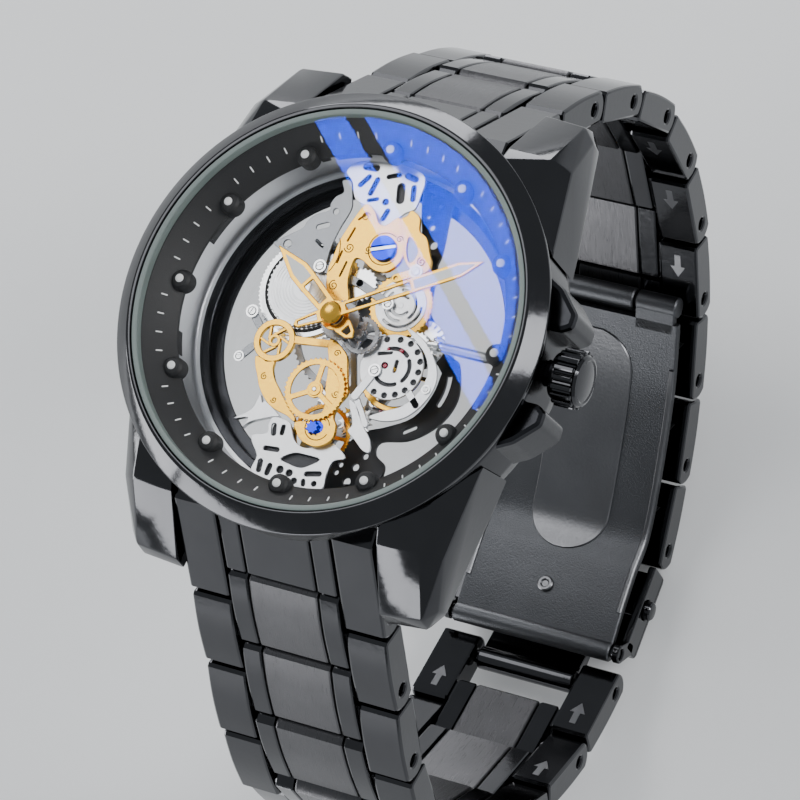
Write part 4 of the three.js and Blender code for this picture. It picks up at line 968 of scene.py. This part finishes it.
def build_silver_plates():
    z0, z1 = heights("front_plate")
    top = [
        (-4.4, 15.2), (-2.6, 15.7), (0.0, 15.9), (2.4, 15.5), (3.0, 14.6), (3.0, 13.5), (2.9, 12.1),
        (2.1, 11.5),
        (1.6, 10.9), (0.6, 9.9), (0.3, 9.4), (-0.5, 10.4), (-1.9, 11.3), (-3.3, 11.8), (-4.1, 13.3),
        (-5.0, 14.1),
    ]
    top_windows = [
        slot(-0.7, 14.5, 0.3, 14.9, 0.45), slot(0.85, 13.8, 1.15, 12.6, 0.8),
        slot(2.1, 14.0, 2.35, 12.9, 0.5),
        slot(-2.6, 14.1, -3.2, 13.2, 0.5), slot(-1.7, 14.0, -1.95, 12.6, 0.5), circle(-0.2, 12.1, 0.32, 24),
        slot(0.3, 11.3, 0.1, 10.5, 0.5), slot(-1.9, 11.9, -1.1, 12.2, 0.35),
        slot(-3.2, 15.0, -2.2, 15.05, 0.7),
        slot(1.1, 15.0, 2.0, 14.8, 0.6),
    ]
    bottom = [
        (-4.3, -13.8), (-4.4, -15.2), (-3.2, -15.6), (-1.0, -15.9), (1.0, -15.9), (3.0, -15.3), (3.0, -14.0),
        (3.2, -12.6),
        (4.2, -12.1), (3.9, -11.6), (2.6, -11.0), (1.3, -11.6), (0, -12.0), (-1.1, -11.6), (-1.8, -10.6),
        (-2.3, -10.0), (-3.9, -9.9), (-4.2, -10.7), (-4.1, -11.5), (-5.4, -12.0), (-5.2, -12.7),
    ]
    leaf = smooth(
        [(-1.9, -13.5), (-0.8, -12.7), (0.4, -12.6), (1.9, -12.7), (0.9, -13.6), (0.2, -13.9), (-0.9, -13.8)],
        3
    )
    bottom_windows = [
        leaf, slot(-3.75, -14.2, -3.65, -15.0, 0.5), slot(-2.7, -14.4, -2.75, -15.1, 0.5),
        circle(-1.6, -14.5, 0.36, 24),
        circle(-0.6, -14.6, 0.34, 24), circle(0.1, -15.2, 0.3, 24), slot(1.1, -14.3, 2.3, -14.0, 0.48),
        slot(1.0, -15.0, 1.1, -15.3, 0.4), slot(-3.6, -10.7, -3.4, -11.4, 0.5),
        slot(-2.65, -10.6, -2.6, -11.2, 0.42),
        slot(-3.7, -12.9, -2.5, -12.8, 0.45), circle(2.1, -15.0, 0.26, 24), circle(-1.3, -15.4, 0.24, 24),
    ]
    side = [
        (-5.1, 13.2), (-4.6, 12.2), (-5.2, 11.6), (-5.5, 10.8), (-5.4, 10.2), (-6.6, 9.5), (-7.2, 8.7),
        (-7.5, 7.9),
        (-9.4, 6.4), (-9.6, 5.8), (-6.8, 4.9), (-4.7, 4.2), (-4.0, 5.0), (-4.0, 6.7), (-3.8, 8.5),
        (-3.4, 10.1),
        (-3.3, 11.0), (-3.6, 11.9), (-4.2, 13.3),
    ]
    side_windows = [
        circle(-4.7, 10.2, 0.3, 16), circle(-8.4, 6.2, 0.4, 16), slot(-5.9, 8.4, -5.1, 8.8, 0.5),
        slot(-5.6, 7.1, -4.9, 6.7, 0.3),
    ]
    shape = [
        plate([smooth(top, 4), *top_windows], z0, z1), plate([smooth(bottom, 4), *bottom_windows], z0, z1),
    ]
    piece("front_plate_ends", shape, "case", SILVER, ["front_plate"])
    # Dark sheets under the end plates: painted shade seen through their windows.
    shade_sheets = [plate([smooth(shrunk(loop, 0.9), 4)], z0 - 0.35, z0 - 0.15) for loop in (top, bottom)]
    piece("front_plate_shade_sheets", shade_sheets, "case", SHADE_SHEET)
    arms = [
        plate([smooth(side, 4), *side_windows], z0, z1),
        *straps(z0, z1, (
            (-9.5, -0.8, -8.4, -1.9, 0.75), (-9.3, -5.2, -8.4, -4.0, 0.75), (*MINUTE.xy, *CONTRATE.xy, 0.7),
            (*MINUTE.xy, 4.5, -3.6, 0.7), (*IDLER.xy, 3.4, 2.8, 0.8), (*IDLER.xy, -4.4, 4.8, 0.8),
        )),
    ]
    piece("front_plate_arms", arms, "case", SHADOWED)
    screws = [
        ringed_screw(-4.4, 4.8, z1, 0.62, 20), ringed_screw(-9.5, -0.8, z1, 0.62, 70),
        ringed_screw(3.4, 2.8, z1, 0.55, 45), ringed_screw(-9.3, -5.2, z1, 0.5, 10),
    ]
    piece("front_plate_screws", screws, "case", BRIGHT)


def build_gold_bridges():
    z0, z1 = heights("upper_gold_bridge")
    sweep = [
        (-1.7, 11.4), (-2.4, 9.9), (-2.8, 8.6), (-3.1, 7.4), (-3.2, 5.9), (-3.3, 4.6), (-3.0, 3.3),
        (-2.5, 2.4),
        (-1.5, 1.9), (-0.3, 2.1), (-0.9, 3.7), (-1.1, 4.9), (-1.0, 6.1), (-0.2, 6.1), (0.8, 5.6), (1.7, 5.4),
        (2.5, 5.6),
        (3.2, 6.3), (3.5, 7.1), (3.4, 8.2), (2.7, 9.5), (1.9, 10.8), (0.9, 9.8), (0.1, 9.9), (-0.6, 10.8),
    ]
    lobe = [
        (2.7, 9.5), (2.0, 10.5), (2.6, 11.1), (2.9, 11.7), (3.9, 11.2), (4.3, 10.0), (5.2, 9.5), (5.9, 8.3),
        (6.4, 7.4),
        (6.4, 6.6), (5.7, 6.0), (4.7, 6.3), (3.9, 6.9), (3.2, 8.0),
    ]
    window = smooth([(3.5, 9.2), (4.1, 8.9), (4.8, 8.1), (4.7, 7.2), (4.3, 6.9), (3.8, 7.6), (3.5, 8.5)], 4)
    slits = [
        slot(-2.3, 7.6, -2.0, 8.9, 0.16), slot(-2.6, 5.4, -2.5, 6.5, 0.16), slot(-1.9, 4.2, -1.7, 5.6, 0.16),
        slot(-1.9, 9.8, -1.3, 10.5, 0.16),
    ]
    arm = [slot(3.5, 5.2, 5.3, 6.2, 0.8), circle(3.5, 5.2, 0.2, 16)]
    shape = [
        plate([smooth(sweep, 4), circle(*BLUED_SCREW, 1.0, 32), *slits], z0, z1),
        plate([smooth(lobe, 4), window], z0, z1 - 0.03),
        plate(arm, z0 + 0.02, z1 - 0.06),
    ]
    piece("upper_bridge_gold", shape, "case", GOLD, ["upper_gold_bridge"])
    lines = [
        spiral(-1.3, 10.2, 0.45, 1.6, 30), spiral(-1.9, 7.0, 0.5, 1.6, 200), spiral(-2.2, 3.2, 0.5, 1.6, 90),
        spiral(2.7, 8.8, 0.35, 1.4, 0), spiral(5.5, 7.2, 0.45, 1.5, 120), spiral(0.0, 7.2, 0.4, 1.5, 240),
        arc(*BLUED_SCREW, 1.55, 60, 330, 24), arc(-6, 6, 3.3, -30, 30, 12),
    ]
    piece("upper_bridge_engraving", [wire(line, 0.055, z1) for line in lines], "case", GOLD_LINE)
    piece("upper_bridge_screw", screw(*BLUED_SCREW, z1 - 0.02, 1.22, 20, 0.42), "case", BLUED)
    ends = (*polar(1.1, 200, *BLUED_SCREW), *polar(1.1, 20, *BLUED_SCREW))
    piece("upper_bridge_slot", strap(*ends, 0.3, z1 + 0.2, z1 + 0.32, 0.02), "case", BRIGHT)
    piece("upper_bridge_small_screw", ringed_screw(5.3, 6.2, z1 - 0.04, 0.65, 60), "case", BRIGHT)

    z0, z1 = heights("lower_gold_bridge")
    tail = [
        (-0.7, -1.5), (0.4, -2.1), (1.4, -2.9), (1.8, -3.9), (2.3, -5.2), (2.7, -6.3), (2.2, -7.5),
        (2.1, -8.7),
        (2.6, -9.4), (2.7, -10.6), (2.1, -11.4), (1.1, -11.8), (-0.3, -11.5), (-1.1, -10.7), (-1.4, -10.0),
        (0.2, -9.4),
        (0.9, -8.1), (0.4, -6.3), (0.1, -4.9), (-0.3, -3.5), (-0.7, -2.6),
    ]
    sickle = [
        (-7.4, -4.9), (-7.2, -5.7), (-6.6, -6.7), (-6.0, -7.7), (-5.0, -8.7), (-3.9, -9.3), (-2.5, -9.6),
        (-1.6, -10.0),
        (-1.6, -9.6), (-2.4, -8.9), (-3.4, -8.0), (-4.1, -7.3), (-4.8, -6.6), (-5.3, -5.7), (-5.4, -5.0),
        (-6.1, -5.2),
        (-6.7, -5.0),
    ]
    x, y = GOLD_RING
    filigree = [
        slot(*polar(1.6, angle, x, y), *polar(0.6, angle + 50, x, y), 0.26) for angle in range(0, 360, 60)
    ]
    shape = [
        plate([circle(x, y, 2.05, 64), circle(x, y, 1.45, 48)], z0, z1, 0.06),
        *[plate([loop], z0, z1 - 0.1) for loop in filigree],
        plate([circle(x, y, 0.6, 32), circle(x, y, 0.3, 20)], z0, z1 - 0.04),
        plate([smooth(sickle, 4)], z0, z1), plate([smooth(tail, 4)], z0, z1),
        strap(-4.4, -2.6, -0.9, -2.2, 0.7, z0, z1 - 0.05),
    ]
    piece("lower_bridge_gold", shape, "case", GOLD, ["lower_gold_bridge"])
    lines = [
        spiral(1.2, -4.6, 0.45, 1.5, 60), spiral(1.6, -6.6, 0.4, 1.5, 180), spiral(-5.9, -6.6, 0.35, 1.4, 90),
        spiral(-4.2, -8.5, 0.3, 1.4, 200), spiral(0.4, -2.9, 0.35, 1.4, 0), arc(0.9, -10.0, 1.2, 20, 340, 24),
    ]
    piece("lower_bridge_engraving", [wire(line, 0.05, z1) for line in lines], "case", GOLD_LINE)
    piece("lower_bridge_jewel", disc(0.9, -10.0, 0.62, z1 - 0.1, z1 + 0.02, 0.05), "case", BLUED)


def build_cock():
    z0, z1 = heights("balance_cock")
    x, y = COCK
    loops = [circle(x, y, 3.1, 96), circle(5.2, -2.9, 0.32, 20)]
    rim = [
        (4.6, -0.5), (5.9, -0.25), (7.0, -0.4), (7.9, -1.0), (8.45, -1.8), (8.6, -2.8), (8.45, -3.8),
        (7.9, -4.7), (7.1, -5.3),
        (6.1, -5.6), (5.0, -5.5),
    ]
    loops += [circle(px, py, 0.28, 24) for px, py in rim]
    loops += [
        arc_slot(x, y, 1.75, 0.36, 50, 118), arc_slot(x, y, 1.75, 0.36, -35, 32),
        slot(4.3, -1.95, 5.4, -1.6, 0.34),
        slot(6.25, -2.3, 6.3, -3.2, 0.34), arc_slot(x, y, 1.7, 0.34, 200, 300),
    ]
    crescent = [
        (5.9, 1.1), (7.8, 0.4), (9.2, -0.7), (10.3, -2.2), (10.6, -3.8), (10.0, -5.6), (8.8, -7.1),
        (7.1, -7.9), (5.3, -7.9),
        (6.6, -7.0), (8.2, -6.1), (9.3, -4.4), (9.5, -2.7), (8.7, -1.1), (7.3, 0),
    ]
    arm = [
        (3.0, -6.7), (4.0, -7.3), (5.1, -8.8), (6.2, -9.9), (6.5, -11.0), (5.8, -11.0), (4.8, -10.3),
        (3.8, -9.6), (4.0, -9.0),
        (3.7, -8.2), (3.1, -7.3),
    ]
    shape = [
        plate(loops, z0, z1), plate([smooth(crescent, 4)], z0, z1), plate([smooth(arm, 4)], z0, z1),
        strap(4.5, -3.6, 3.4, -6.3, 0.8, z1 - 0.02, z1 + 0.14), strap(8.4, -4.9, 9.4, -5.8, 0.7, z0, z1),
        strap(3.4, -6.3, 5.2, -8.6, 0.6, z0, z1),
    ]
    piece("balance_cock_silver", shape, "case", SILVER, ["balance_cock"])
    # A dark sheet under the cock's disc: painted shade seen through its holes.
    shade_sheet = plate([circle(x, y, 2.95, 64), circle(*BALANCE.xy, 0.35, 20)], z0 - 0.08, z0 - 0.01, 0.02)
    piece("balance_cock_shade_sheet", shade_sheet, "case", SHADE_SHEET)
    screws = [ringed_screw(4.5, -3.6, z1 + 0.12, 0.6, 30), ringed_screw(9.9, -4.2, z1, 0.4, 80)]
    piece("balance_cock_screws", screws, "case", BRIGHT)
    jewels = [
        disc(4.9, -1.35, 0.2, z0, z1 - 0.02), disc(6.3, -1.2, 0.2, z0, z1 - 0.02),
        disc(5.2, -2.9, 0.2, z0, z1 - 0.02)
    ]
    piece("balance_cock_jewels", jewels, "case", RUBY)


# ---------- hands ----------


def build_hand(name, node, body, angle, z0, z1, tip, tail, half, hub, bore, lume_from):
    """A framed baton hand: an open inner half, lume in the pointed outer half, and an open tail."""
    shoulder = tip - half * 3.2
    outline = rounded([
        (-tail, -half * 0.55), (-hub, -half * 0.85), (hub, -half * 0.85), (lume_from, -half),
        (shoulder, -half),
        (tip, -0.04), (tip, 0.04), (shoulder, half), (lume_from, half), (hub, half * 0.85),
        (-hub, half * 0.85),
        (-tail, half * 0.55), (-tail - half * 0.5, 0),
    ], 0.12, 3)
    inner = half * 0.52
    opening = rounded([
        (hub + 0.45, -inner * 0.8), (lume_from - 0.35, -inner), (lume_from - 0.35, inner),
        (hub + 0.45, inner * 0.8),
    ], 0.1, 3)
    tail_opening = rounded([
        (-tail + 0.1, -half * 0.22), (-hub - 0.35, -half * 0.42), (-hub - 0.35, half * 0.42),
        (-tail + 0.1, half * 0.22),
    ], 0.08, 3)
    turn = at(0, 0, 0, angle)
    metal = joined([
        plate([outline, opening, tail_opening, circle(0, 0, bore, 24)], z0, z1, 0.06),
        plate([circle(0, 0, hub, 48), circle(0, 0, bore, 32)], z0 + 0.01, z1 - 0.01, 0.04),
    ])
    piece(name, moved(metal, turn), body, GOLD, [node])
    fill = rounded([
        (lume_from, -half * 0.6), (shoulder, -half * 0.6), (tip - half * 1.2, -0.05),
        (tip - half * 1.2, 0.05),
        (shoulder, half * 0.6), (lume_from, half * 0.6),
    ], 0.06, 3)
    piece(name + "_lume", moved(plate([fill], z1 - 0.04, z1 + 0.05, 0.02), turn), body, LUME)


def build_hands():
    build_hand(
        "minute_hand_gold", "minute_hand", "centre_arbor", MINUTE_ANGLE, 9.15, 9.4, 15.0, 3.4, 0.72, 1.05,
        0.36, 8.2
    )
    build_hand(
        "hour_hand_gold", "hour_hand", "hour_hand", HOUR_ANGLE, 8.3, 8.55, 9.2, 2.5, 1.02, 1.4, 0.95, 4.6
    )
    cap = lathe([(0, 9.3), (1.02, 9.3), (1.05, 9.42), (0.92, 9.62), (0.6, 9.78), (0.25, 9.84), (0, 9.85)], 48)
    piece("minute_hand_cap", cap, "centre_arbor", GOLD)


# ---------- bracelet ----------

PITCH = 9.3
NOSE = 2.1
HALF = 1.55
GAP = 0.15
FIRST = Vector((0, 23.8, -1.7))
COLUMNS = ((0.0, 3.62), (3.74, 5.82), (6.03, 10.28))


def nose_loop(nose_at, flat_at, half=HALF, nose=NOSE, dome=0.22):
    """A block with a round nose about one point, a flat end at the other and a domed outer face."""
    side = 1 if nose_at > flat_at else -1
    widest = math.degrees(math.asin(half / nose))
    front = [(nose_at + side * p[0], p[1]) for p in arc(0, 0, nose, -widest, widest, 12)]
    corner = 0.3
    start, stop = front[-1][0], flat_at + side * corner
    top = [(start + (stop - start) * t, half + dome * math.sin(math.pi * t)) for t in spread(0, 1, 10)[1:-1]]
    end = [(stop, half), (flat_at, half - corner), (flat_at, -half + corner), (stop, -half)]
    return front + top + end


def both_sides(loops, x0, x1, edge):
    return [bar(loops, x0, x1, edge), bar(loops, -x1, -x0, edge)]


def link_shapes(open_end):
    clear = NOSE + GAP
    centre_end = PITCH - 4.2 if open_end else PITCH - clear
    middle = nose_loop(0, centre_end)
    brushed = bar([middle], -COLUMNS[0][1], COLUMNS[0][1], 0.22)
    outer = [nose_loop(PITCH, clear), circle(PITCH, 0, 0.62, 20)]
    polished = both_sides([middle], *COLUMNS[1], 0.22) + both_sides(outer, *COLUMNS[2], 0.26)
    core = bar(
        [[(clear + 0.3, -1.2), (centre_end - 0.3, -1.2), (centre_end - 0.3, 1.2), (clear + 0.3, 1.2)]], -8, 8,
        0.1
    )
    pin = rod(0.5, -9.75, 9.75, 0, 0)
    arrow = [(-0.35, 3.4), (0.35, 3.4), (0.35, 4.8), (0.85, 4.8), (0, 6.1), (-0.85, 4.8), (-0.35, 4.8)]
    marks = [
        plate([[(x + side * 8.1, y) for x, y in arrow]], -HALF - 0.03, -HALF + 0.1, 0.02) for side in (-1, 1)
    ]
    return brushed, joined(polished + [core, pin]), joined(marks)


def build_bracelet():
    shared = {}
    for is_open in (False, True):
        tag = "_open" if is_open else ""
        brushed, polished, marks = link_shapes(is_open)
        shared[is_open] = (mesh_of("link_brushed" + tag, brushed), mesh_of("link_polished" + tag, polished),
                           mesh_of("link_marks" + tag, marks))
    for side, count in (("12", 9), ("6", 8)):
        for number in range(1, count + 1):
            name = f"link_{side}_{number}"
            hinge = pivot(name + "_hinge")
            following = f"link_{side}_{number + 1}_hinge"
            target = pivot(following) if following in JOINTS else chain_end(side)
            along = (target - hinge).normalized()
            turn = math.atan2(along.z, along.y if side == "12" else -along.y)
            place = Matrix.Translation(hinge)
            if side == "6":
                place = place @ Matrix.Rotation(math.pi, 4, "Z")
            place = place @ Matrix.Rotation(turn, 4, "X")
            brushed, polished, marks = shared[name == "link_6_8"]
            piece(name + "_polished", polished, name, POLISHED, [name], place)
            piece(name + "_brushed", brushed, name, BRUSH, (), place)
            piece(name + "_arrow", marks, name, BLADE_EDGE, (), place)


def chain_end(side):
    """Where the bracelet's last link ends on this side."""
    if side == "12":
        return pivot("short_blade_hinge")
    return Vector((0, *OPEN_PIVOT))


def build_end_links():
    heading = math.radians(-55)
    along = Vector((math.cos(heading), math.sin(heading)))
    out = Vector((-along.y, along.x))
    first = Vector((FIRST.y, FIRST.z))

    def spot(t, n):
        return tuple(first + along * t + out * n)

    back = [(17.7, 1.7), (17.7, 7.1), (19.7, 6.9)]
    widest = math.degrees(math.asin(HALF / NOSE))
    nose = [spot(*polar(NOSE, angle)) for angle in spread(widest, -widest, 12)]
    outer = [back[1], back[2], spot(-8.0, HALF), *nose, spot(-3, -HALF), back[0]]
    clear = NOSE + GAP
    middle = [
        back[1], back[2], spot(-8.0, HALF), spot(-clear, HALF), spot(-clear, -HALF), spot(-3.4, -HALF),
        back[0]
    ]
    hole = circle(FIRST.y, FIRST.z, 0.62, 20)
    middle_parts = [
        bar([middle], -COLUMNS[0][1], COLUMNS[0][1], 0.22), *both_sides([middle], *COLUMNS[1], 0.22),
        bar([[(18.4, 2.0), (20.6, 1.6), (20.8, 4.2), (18.4, 5.6)]], -8, 8, 0.2),
    ]
    outer_parts = both_sides([outer, hole], *COLUMNS[2], 0.26)
    shape = joined(middle_parts + outer_parts)
    mesh = mesh_of("end_link", shape)
    piece("end_link_top", mesh, "case", POLISHED, ["end_link_12"], Matrix.Identity(4))
    piece("end_link_bottom", mesh, "case", POLISHED, ["end_link_6"], Matrix.Rotation(math.pi, 4, "Z"))


# ---------- clasp ----------

CLASP_START = pivot("short_blade_hinge")
OPEN_PIVOT = (-16.880, -62.357)
FOLD = pivot("fold_hinge")
COVER = pivot("cover_hinge")


def clasp_axes():
    end = Vector(OPEN_PIVOT)
    start = Vector((CLASP_START.y, CLASP_START.z))
    along = (end - start).normalized()
    return start, along


def clasp(s, n):
    """A point of the clasp: s along it from its first hinge, n outwards."""
    start, along = clasp_axes()
    return tuple(start + along * s + Vector((-along.y, along.x)) * n)


def inside(number, offset):
    """A point inside the bracelet, a given way in from one of its hinges."""
    hinge = pivot(f"link_12_{number + 1}_hinge") if number < 9 else CLASP_START
    before = pivot(f"link_12_{number}_hinge")
    after = pivot(f"link_12_{number + 2}_hinge") if number < 8 else CLASP_START
    heading = (
        math.atan2(hinge.z - before.z, hinge.y - before.y) + math.atan2(after.z - hinge.z, after.y - hinge.y)
    ) / 2
    return (hinge.y + offset * math.sin(heading), hinge.z - offset * math.cos(heading))


def open_curve(points, steps=6):
    """A smooth open curve through the points."""
    extended = [points[0], *points, points[-1]]
    out = []
    for i in range(1, len(extended) - 2):
        a, b, c, d = (Vector(extended[i + k]) for k in (-1, 0, 1, 2))
        for t in (k / steps for k in range(steps)):
            out.append(between(a, b, c, d, t))
    out.append(tuple(points[-1]))
    return out


def sweep(path, widths, thickness, edge=0.12):
    """A bent blade: half its width is given at every point of its path in YZ."""
    rings = []
    half = thickness / 2
    for i, (y, z) in enumerate(path):
        ay, az, by, bz = neighbours(path, i)
        across = Vector((0, -(bz - az), by - ay)).normalized()
        width = widths[i]
        rings.append([Vector((x, y, z)) + across * h for x, h in (
            (-width, -half + edge), (-width + edge, -half), (width - edge, -half), (width, -half + edge),
            (width, half - edge), (width - edge, half), (-width + edge, half), (-width, half - edge),
        )])
    return skin(rings)


def lengths(path):
    out = [0.0]
    for (ay, az), (by, bz) in zip(path, path[1:]):
        out.append(out[-1] + math.hypot(by - ay, bz - az))
    return out


def shifted(shape, x):
    return moved(shape, Matrix.Translation((x, 0, 0)))


def away_from(path, centre, distance):
    return [p for p in path if math.hypot(p[0] - centre.y, p[1] - centre.z) > distance]


def build_short_blade():
    path = open_curve(
        [inside(6, 2.6), inside(7, 2.5), inside(8, 2.5), clasp(0, -2.5), clasp(2.6, -1.7), clasp(8, -0.7)], 8
    )
    clear = away_from(path, FOLD, 1.5)
    near = path[:len(path) - len(clear) + 2]
    web = rounded([clasp(-0.9, 0), clasp(-0.9, -2.6), clasp(0.9, -2.3), clasp(0.9, 0)], 0.2)
    shape = [
        sweep(clear, [5.95] * len(clear), 0.7), sweep(near, [3.8] * len(near), 0.7),
        rod(1.15, -3.9, 3.9, FOLD.y, FOLD.z, 0.15), bar([web], -5.6, 5.6, 0.15),
        rod(1.5, -5.6, 5.6, CLASP_START.y, CLASP_START.z, 0.2),
        rod(0.5, -9.6, 9.6, CLASP_START.y, CLASP_START.z),
    ]
    piece("short_blade_steel", shape, "short_blade", BLADE, ["clasp_short_blade"])


def build_long_blade():
    corners = [
        inside(6, 3.7), inside(7, 3.8), inside(8, 3.9), clasp(0, -3.9), clasp(4.5, -3.7), clasp(9, -3.2),
        (COVER.y, COVER.z),
    ]
    path = open_curve(corners, 8)
    clear = away_from(path, FOLD, 1.45)
    near = path[:len(path) - len(clear) + 2]
    parts = [sweep(clear, [9.15] * len(clear), 0.9)]
    parts += [shifted(sweep(near, [2.2] * len(near), 0.9), x) for x in (-6.5, 6.5)]
    parts += [rod(1.15, 4.25, 8.8, FOLD.y, FOLD.z, 0.15), rod(1.15, -8.8, -4.25, FOLD.y, FOLD.z, 0.15)]
    parts += [rod(0.5, -8.6, 8.6, FOLD.y, FOLD.z), rod(1.05, -9.15, 9.15, COVER.y, COVER.z, 0.15)]
    parts += [rod(0.5, -10, 10, COVER.y, COVER.z)]
    piece("long_blade_steel", parts, "long_blade", BLADE, ["clasp_long_blade"])

    raised = open_curve([(y, z) for y, z in (
        inside(6, 4.1), inside(7, 4.25), inside(8, 4.35), clasp(0, -4.35), clasp(4.5, -4.15), clasp(9, -3.65),
    )], 24)
    reach = lengths(raised)
    pad, widths = [], []
    start, end, half = 3.6, reach[-1] - 5.2, 4.4
    for point, s in zip(raised, reach):
        if start < s < end:
            gap = min(s - start, end - s)
            pad.append(point)
            widths.append(half * math.sqrt(max(0.02, 1 - max(0, 1 - gap / half) ** 2)))
    rim = raised[19:]
    edges = [shifted(sweep(rim, [0.28] * len(rim), 0.5), x) for x in (-8.85, 8.85)]
    rivet = lathe([(0, 0), (0.85, 0), (0.85, 0.66), (0.72, 0.78), (0.5, 0.78), (0.34, 0.58), (0, 0.58)], 32)
    y, z = clasp(8.0, -3.35)
    along = clasp_axes()[1]
    place = Matrix.Translation((0, y, z)) @ Matrix.Rotation(math.atan2(-along.y, -along.x), 4, "X")
    details = [sweep(pad, widths, 0.36), *edges, moved(rivet, place)]
    piece("long_blade_raised_pad", details, "long_blade", BLADE_EDGE)


def build_cover():
    def loop(points, radius=0.25):
        return rounded([clasp(s, n) for s, n in points], radius)

    roof = loop([(2.6, 1.0), (2.6, 1.7), (3.1, 1.95), (11.6, 1.95), (12.0, 1.6), (12.0, 1.0)], 0.15)
    wall = loop([(2.6, -1.7), (2.6, 1.5), (12.0, 1.5), (12.0, -1.7)], 0.3)
    ear = loop([(11.0, -1.3), (10.9, 0), (12.0, 0.4), (14.0, -2.0), (13.6, -3.3), (12.4, -3.4)], 0.4)
    neck = loop([(11.4, 1.0), (11.4, 1.9), (14.6, 1.7), (17.2, 0.9), (16.2, -0.6)], 0.3)
    window = circle(*clasp(7.0, -0.2), 1.12, 32)
    eye = circle(COVER.y, COVER.z, 0.62, 24)
    parts = [
        bar([roof], -3.62, 3.62, 0.2), *both_sides([roof], 3.74, 5.82, 0.2),
        *both_sides([roof], 6.03, 10.28, 0.25)
    ]
    parts += both_sides([wall, window], 9.45, 10.28, 0.15) + both_sides([ear, eye], 9.45, 10.28, 0.15)
    parts.append(bar([neck], -5.5, 5.5, 0.2))
    parts.append(bar([circle(*OPEN_PIVOT, 1.25, 32), circle(*OPEN_PIVOT, 0.4, 20)], -5.5, 5.5, 0.15))
    piece("cover_steel", parts, "cover", POLISHED, ["clasp_cover"])


def build_buttons():
    y, z = clasp(7.0, -0.2)
    for name, sign in (("right", 1), ("left", -1)):
        stem = [
            (0, 8.0), (1.15, 8.0), (1.15, 9.2), (1.0, 9.2), (1.0, 10.9), (0.85, 11.05), (0.5, 11.1), (0, 11.1)
        ]
        shape = moved(lathe(stem, 32), Matrix.Translation((0, y, z)) @ ALONG_X)
        if sign < 0:
            shape = moved(shape, Matrix.Scale(-1, 4, (1, 0, 0)))
        piece(f"button_{name}_steel", shape, f"button_{name}", POLISHED, [f"clasp_button_{name}"])


# ---------- studio ----------


def finish_node(node, finish):
    """Gives a CAD node that stays in view its material."""
    thing = frame["nodes"][node]
    thing.data.materials.clear()
    thing.data.materials.append(finish[0])


def pointed(thing, place, target, up):
    """Stands a camera or a light at a place and aims it at a target."""
    back = (place - target).normalized()
    right = up.cross(back).normalized()
    turn = Matrix((right, back.cross(right), back)).transposed().to_4x4()
    thing.matrix_world = Matrix.Translation(place) @ turn


def softbox(name, place, target, wide, tall, radiance, lit, up):
    """A soft light; lit says which pieces it reaches."""
    lamp = bpy.data.lights.new(name, "AREA")
    lamp.shape = "RECTANGLE"
    lamp.size = wide
    lamp.size_y = tall
    lamp.energy = radiance * math.pi * wide * tall
    thing = bpy.data.objects.new(name, lamp)
    bpy.context.scene.collection.objects.link(thing)
    pointed(thing, place, target, up)
    thing.light_linking.receiver_collection = lit
    return thing


def lit_group(name, things, state):
    group = bpy.data.collections.new(name)
    for thing in things:
        group.objects.link(thing)
    for item in group.collection_objects:
        item.light_linking.link_state = state
    return group


def build_camera():
    lens = bpy.data.cameras.new("photo_view")
    lens.lens = LENS
    lens.sensor_width = 36
    lens.clip_start = 0.01
    camera = bpy.data.objects.new("photo_view", lens)
    bpy.context.scene.collection.objects.link(camera)
    pointed(camera, CAMERA_AT, CAMERA_AIM, PICTURE_UP)
    bpy.context.scene.camera = camera


def build_lights():
    world = bpy.data.worlds.new("studio")
    world.use_nodes = True
    background = world.node_tree.nodes["Background"]
    background.inputs["Color"].default_value = WORLD_COLOUR
    background.inputs["Strength"].default_value = WORLD_STRENGTH
    bpy.context.scene.world = world
    glass = [bpy.data.objects["crystal_front"], bpy.data.objects["rear_window"]]
    rest = lit_group("without_glass", glass, "EXCLUDE")
    for name, place, wide, tall, radiance, up in LIGHTS:
        softbox(name, Vector(place), LIGHTS_AIM, wide, tall, radiance, rest, up)
    front = lit_group("front_crystal", glass[:1], "INCLUDE")
    band_light("narrow_band", 7.4, 10.1, front)
    band_light("broad_band", 11.6, 19.5, front)


def band_light(name, near, far, lit):
    """A panel whose mirror image on the crystal is a band between two distances from its centre."""
    mirrored = Vector((CAMERA_AT.x, CAMERA_AT.y, 2 * CRYSTAL_TOP - CAMERA_AT.z))
    middle = Vector((*polar((near + far) / 2 * MM, BAND_HEADING + 90), CRYSTAL_TOP))
    reach = (BAND_PANEL_HEIGHT - mirrored.z) / (CRYSTAL_TOP - mirrored.z)
    place = mirrored + (middle - mirrored) * reach
    across = Vector((*polar(1, BAND_HEADING + 90), 0))
    width = (far - near) * MM * reach
    softbox(name, place, place - UPRIGHT, BAND_LENGTH * reach, width, BAND_RADIANCE, lit, across)
    bpy.data.lights[name].color = BAND_COLOUR


def build_floor():
    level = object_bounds()[0][2]
    reach = FLOOR_REACH
    corners = [
        Vector((x, y, level)) / MM for x,
        y in ((-reach, -reach), (reach, -reach), (reach, reach), (-reach, reach))
    ]
    mesh = mesh_of("floor", (corners, [[0, 1, 2, 3]]))
    mesh.materials.append(surface("pale_floor", (0.86, 0.87, 0.88), 0.0, 0.6, 1.0, 0.05, tint=0.01))
    floor = bpy.data.objects.new("floor", mesh)
    bpy.context.scene.collection.objects.link(floor)


build_case()
build_bezel()
build_dial_ring()
build_inner_walls()
build_crown()
build_barrel_and_winding()
build_train()
build_balance()
build_motion_work()
build_support_plate()
build_mainplate()
build_silver_plates()
build_gold_bridges()
build_cock()
build_hands()
build_bracelet()
build_end_links()
build_short_blade()
build_long_blade()
build_cover()
build_buttons()
finish_node("crown_tube", SIDE)
finish_node("crown_gasket", RUBBER)
build_camera()
build_lights()
build_floor()
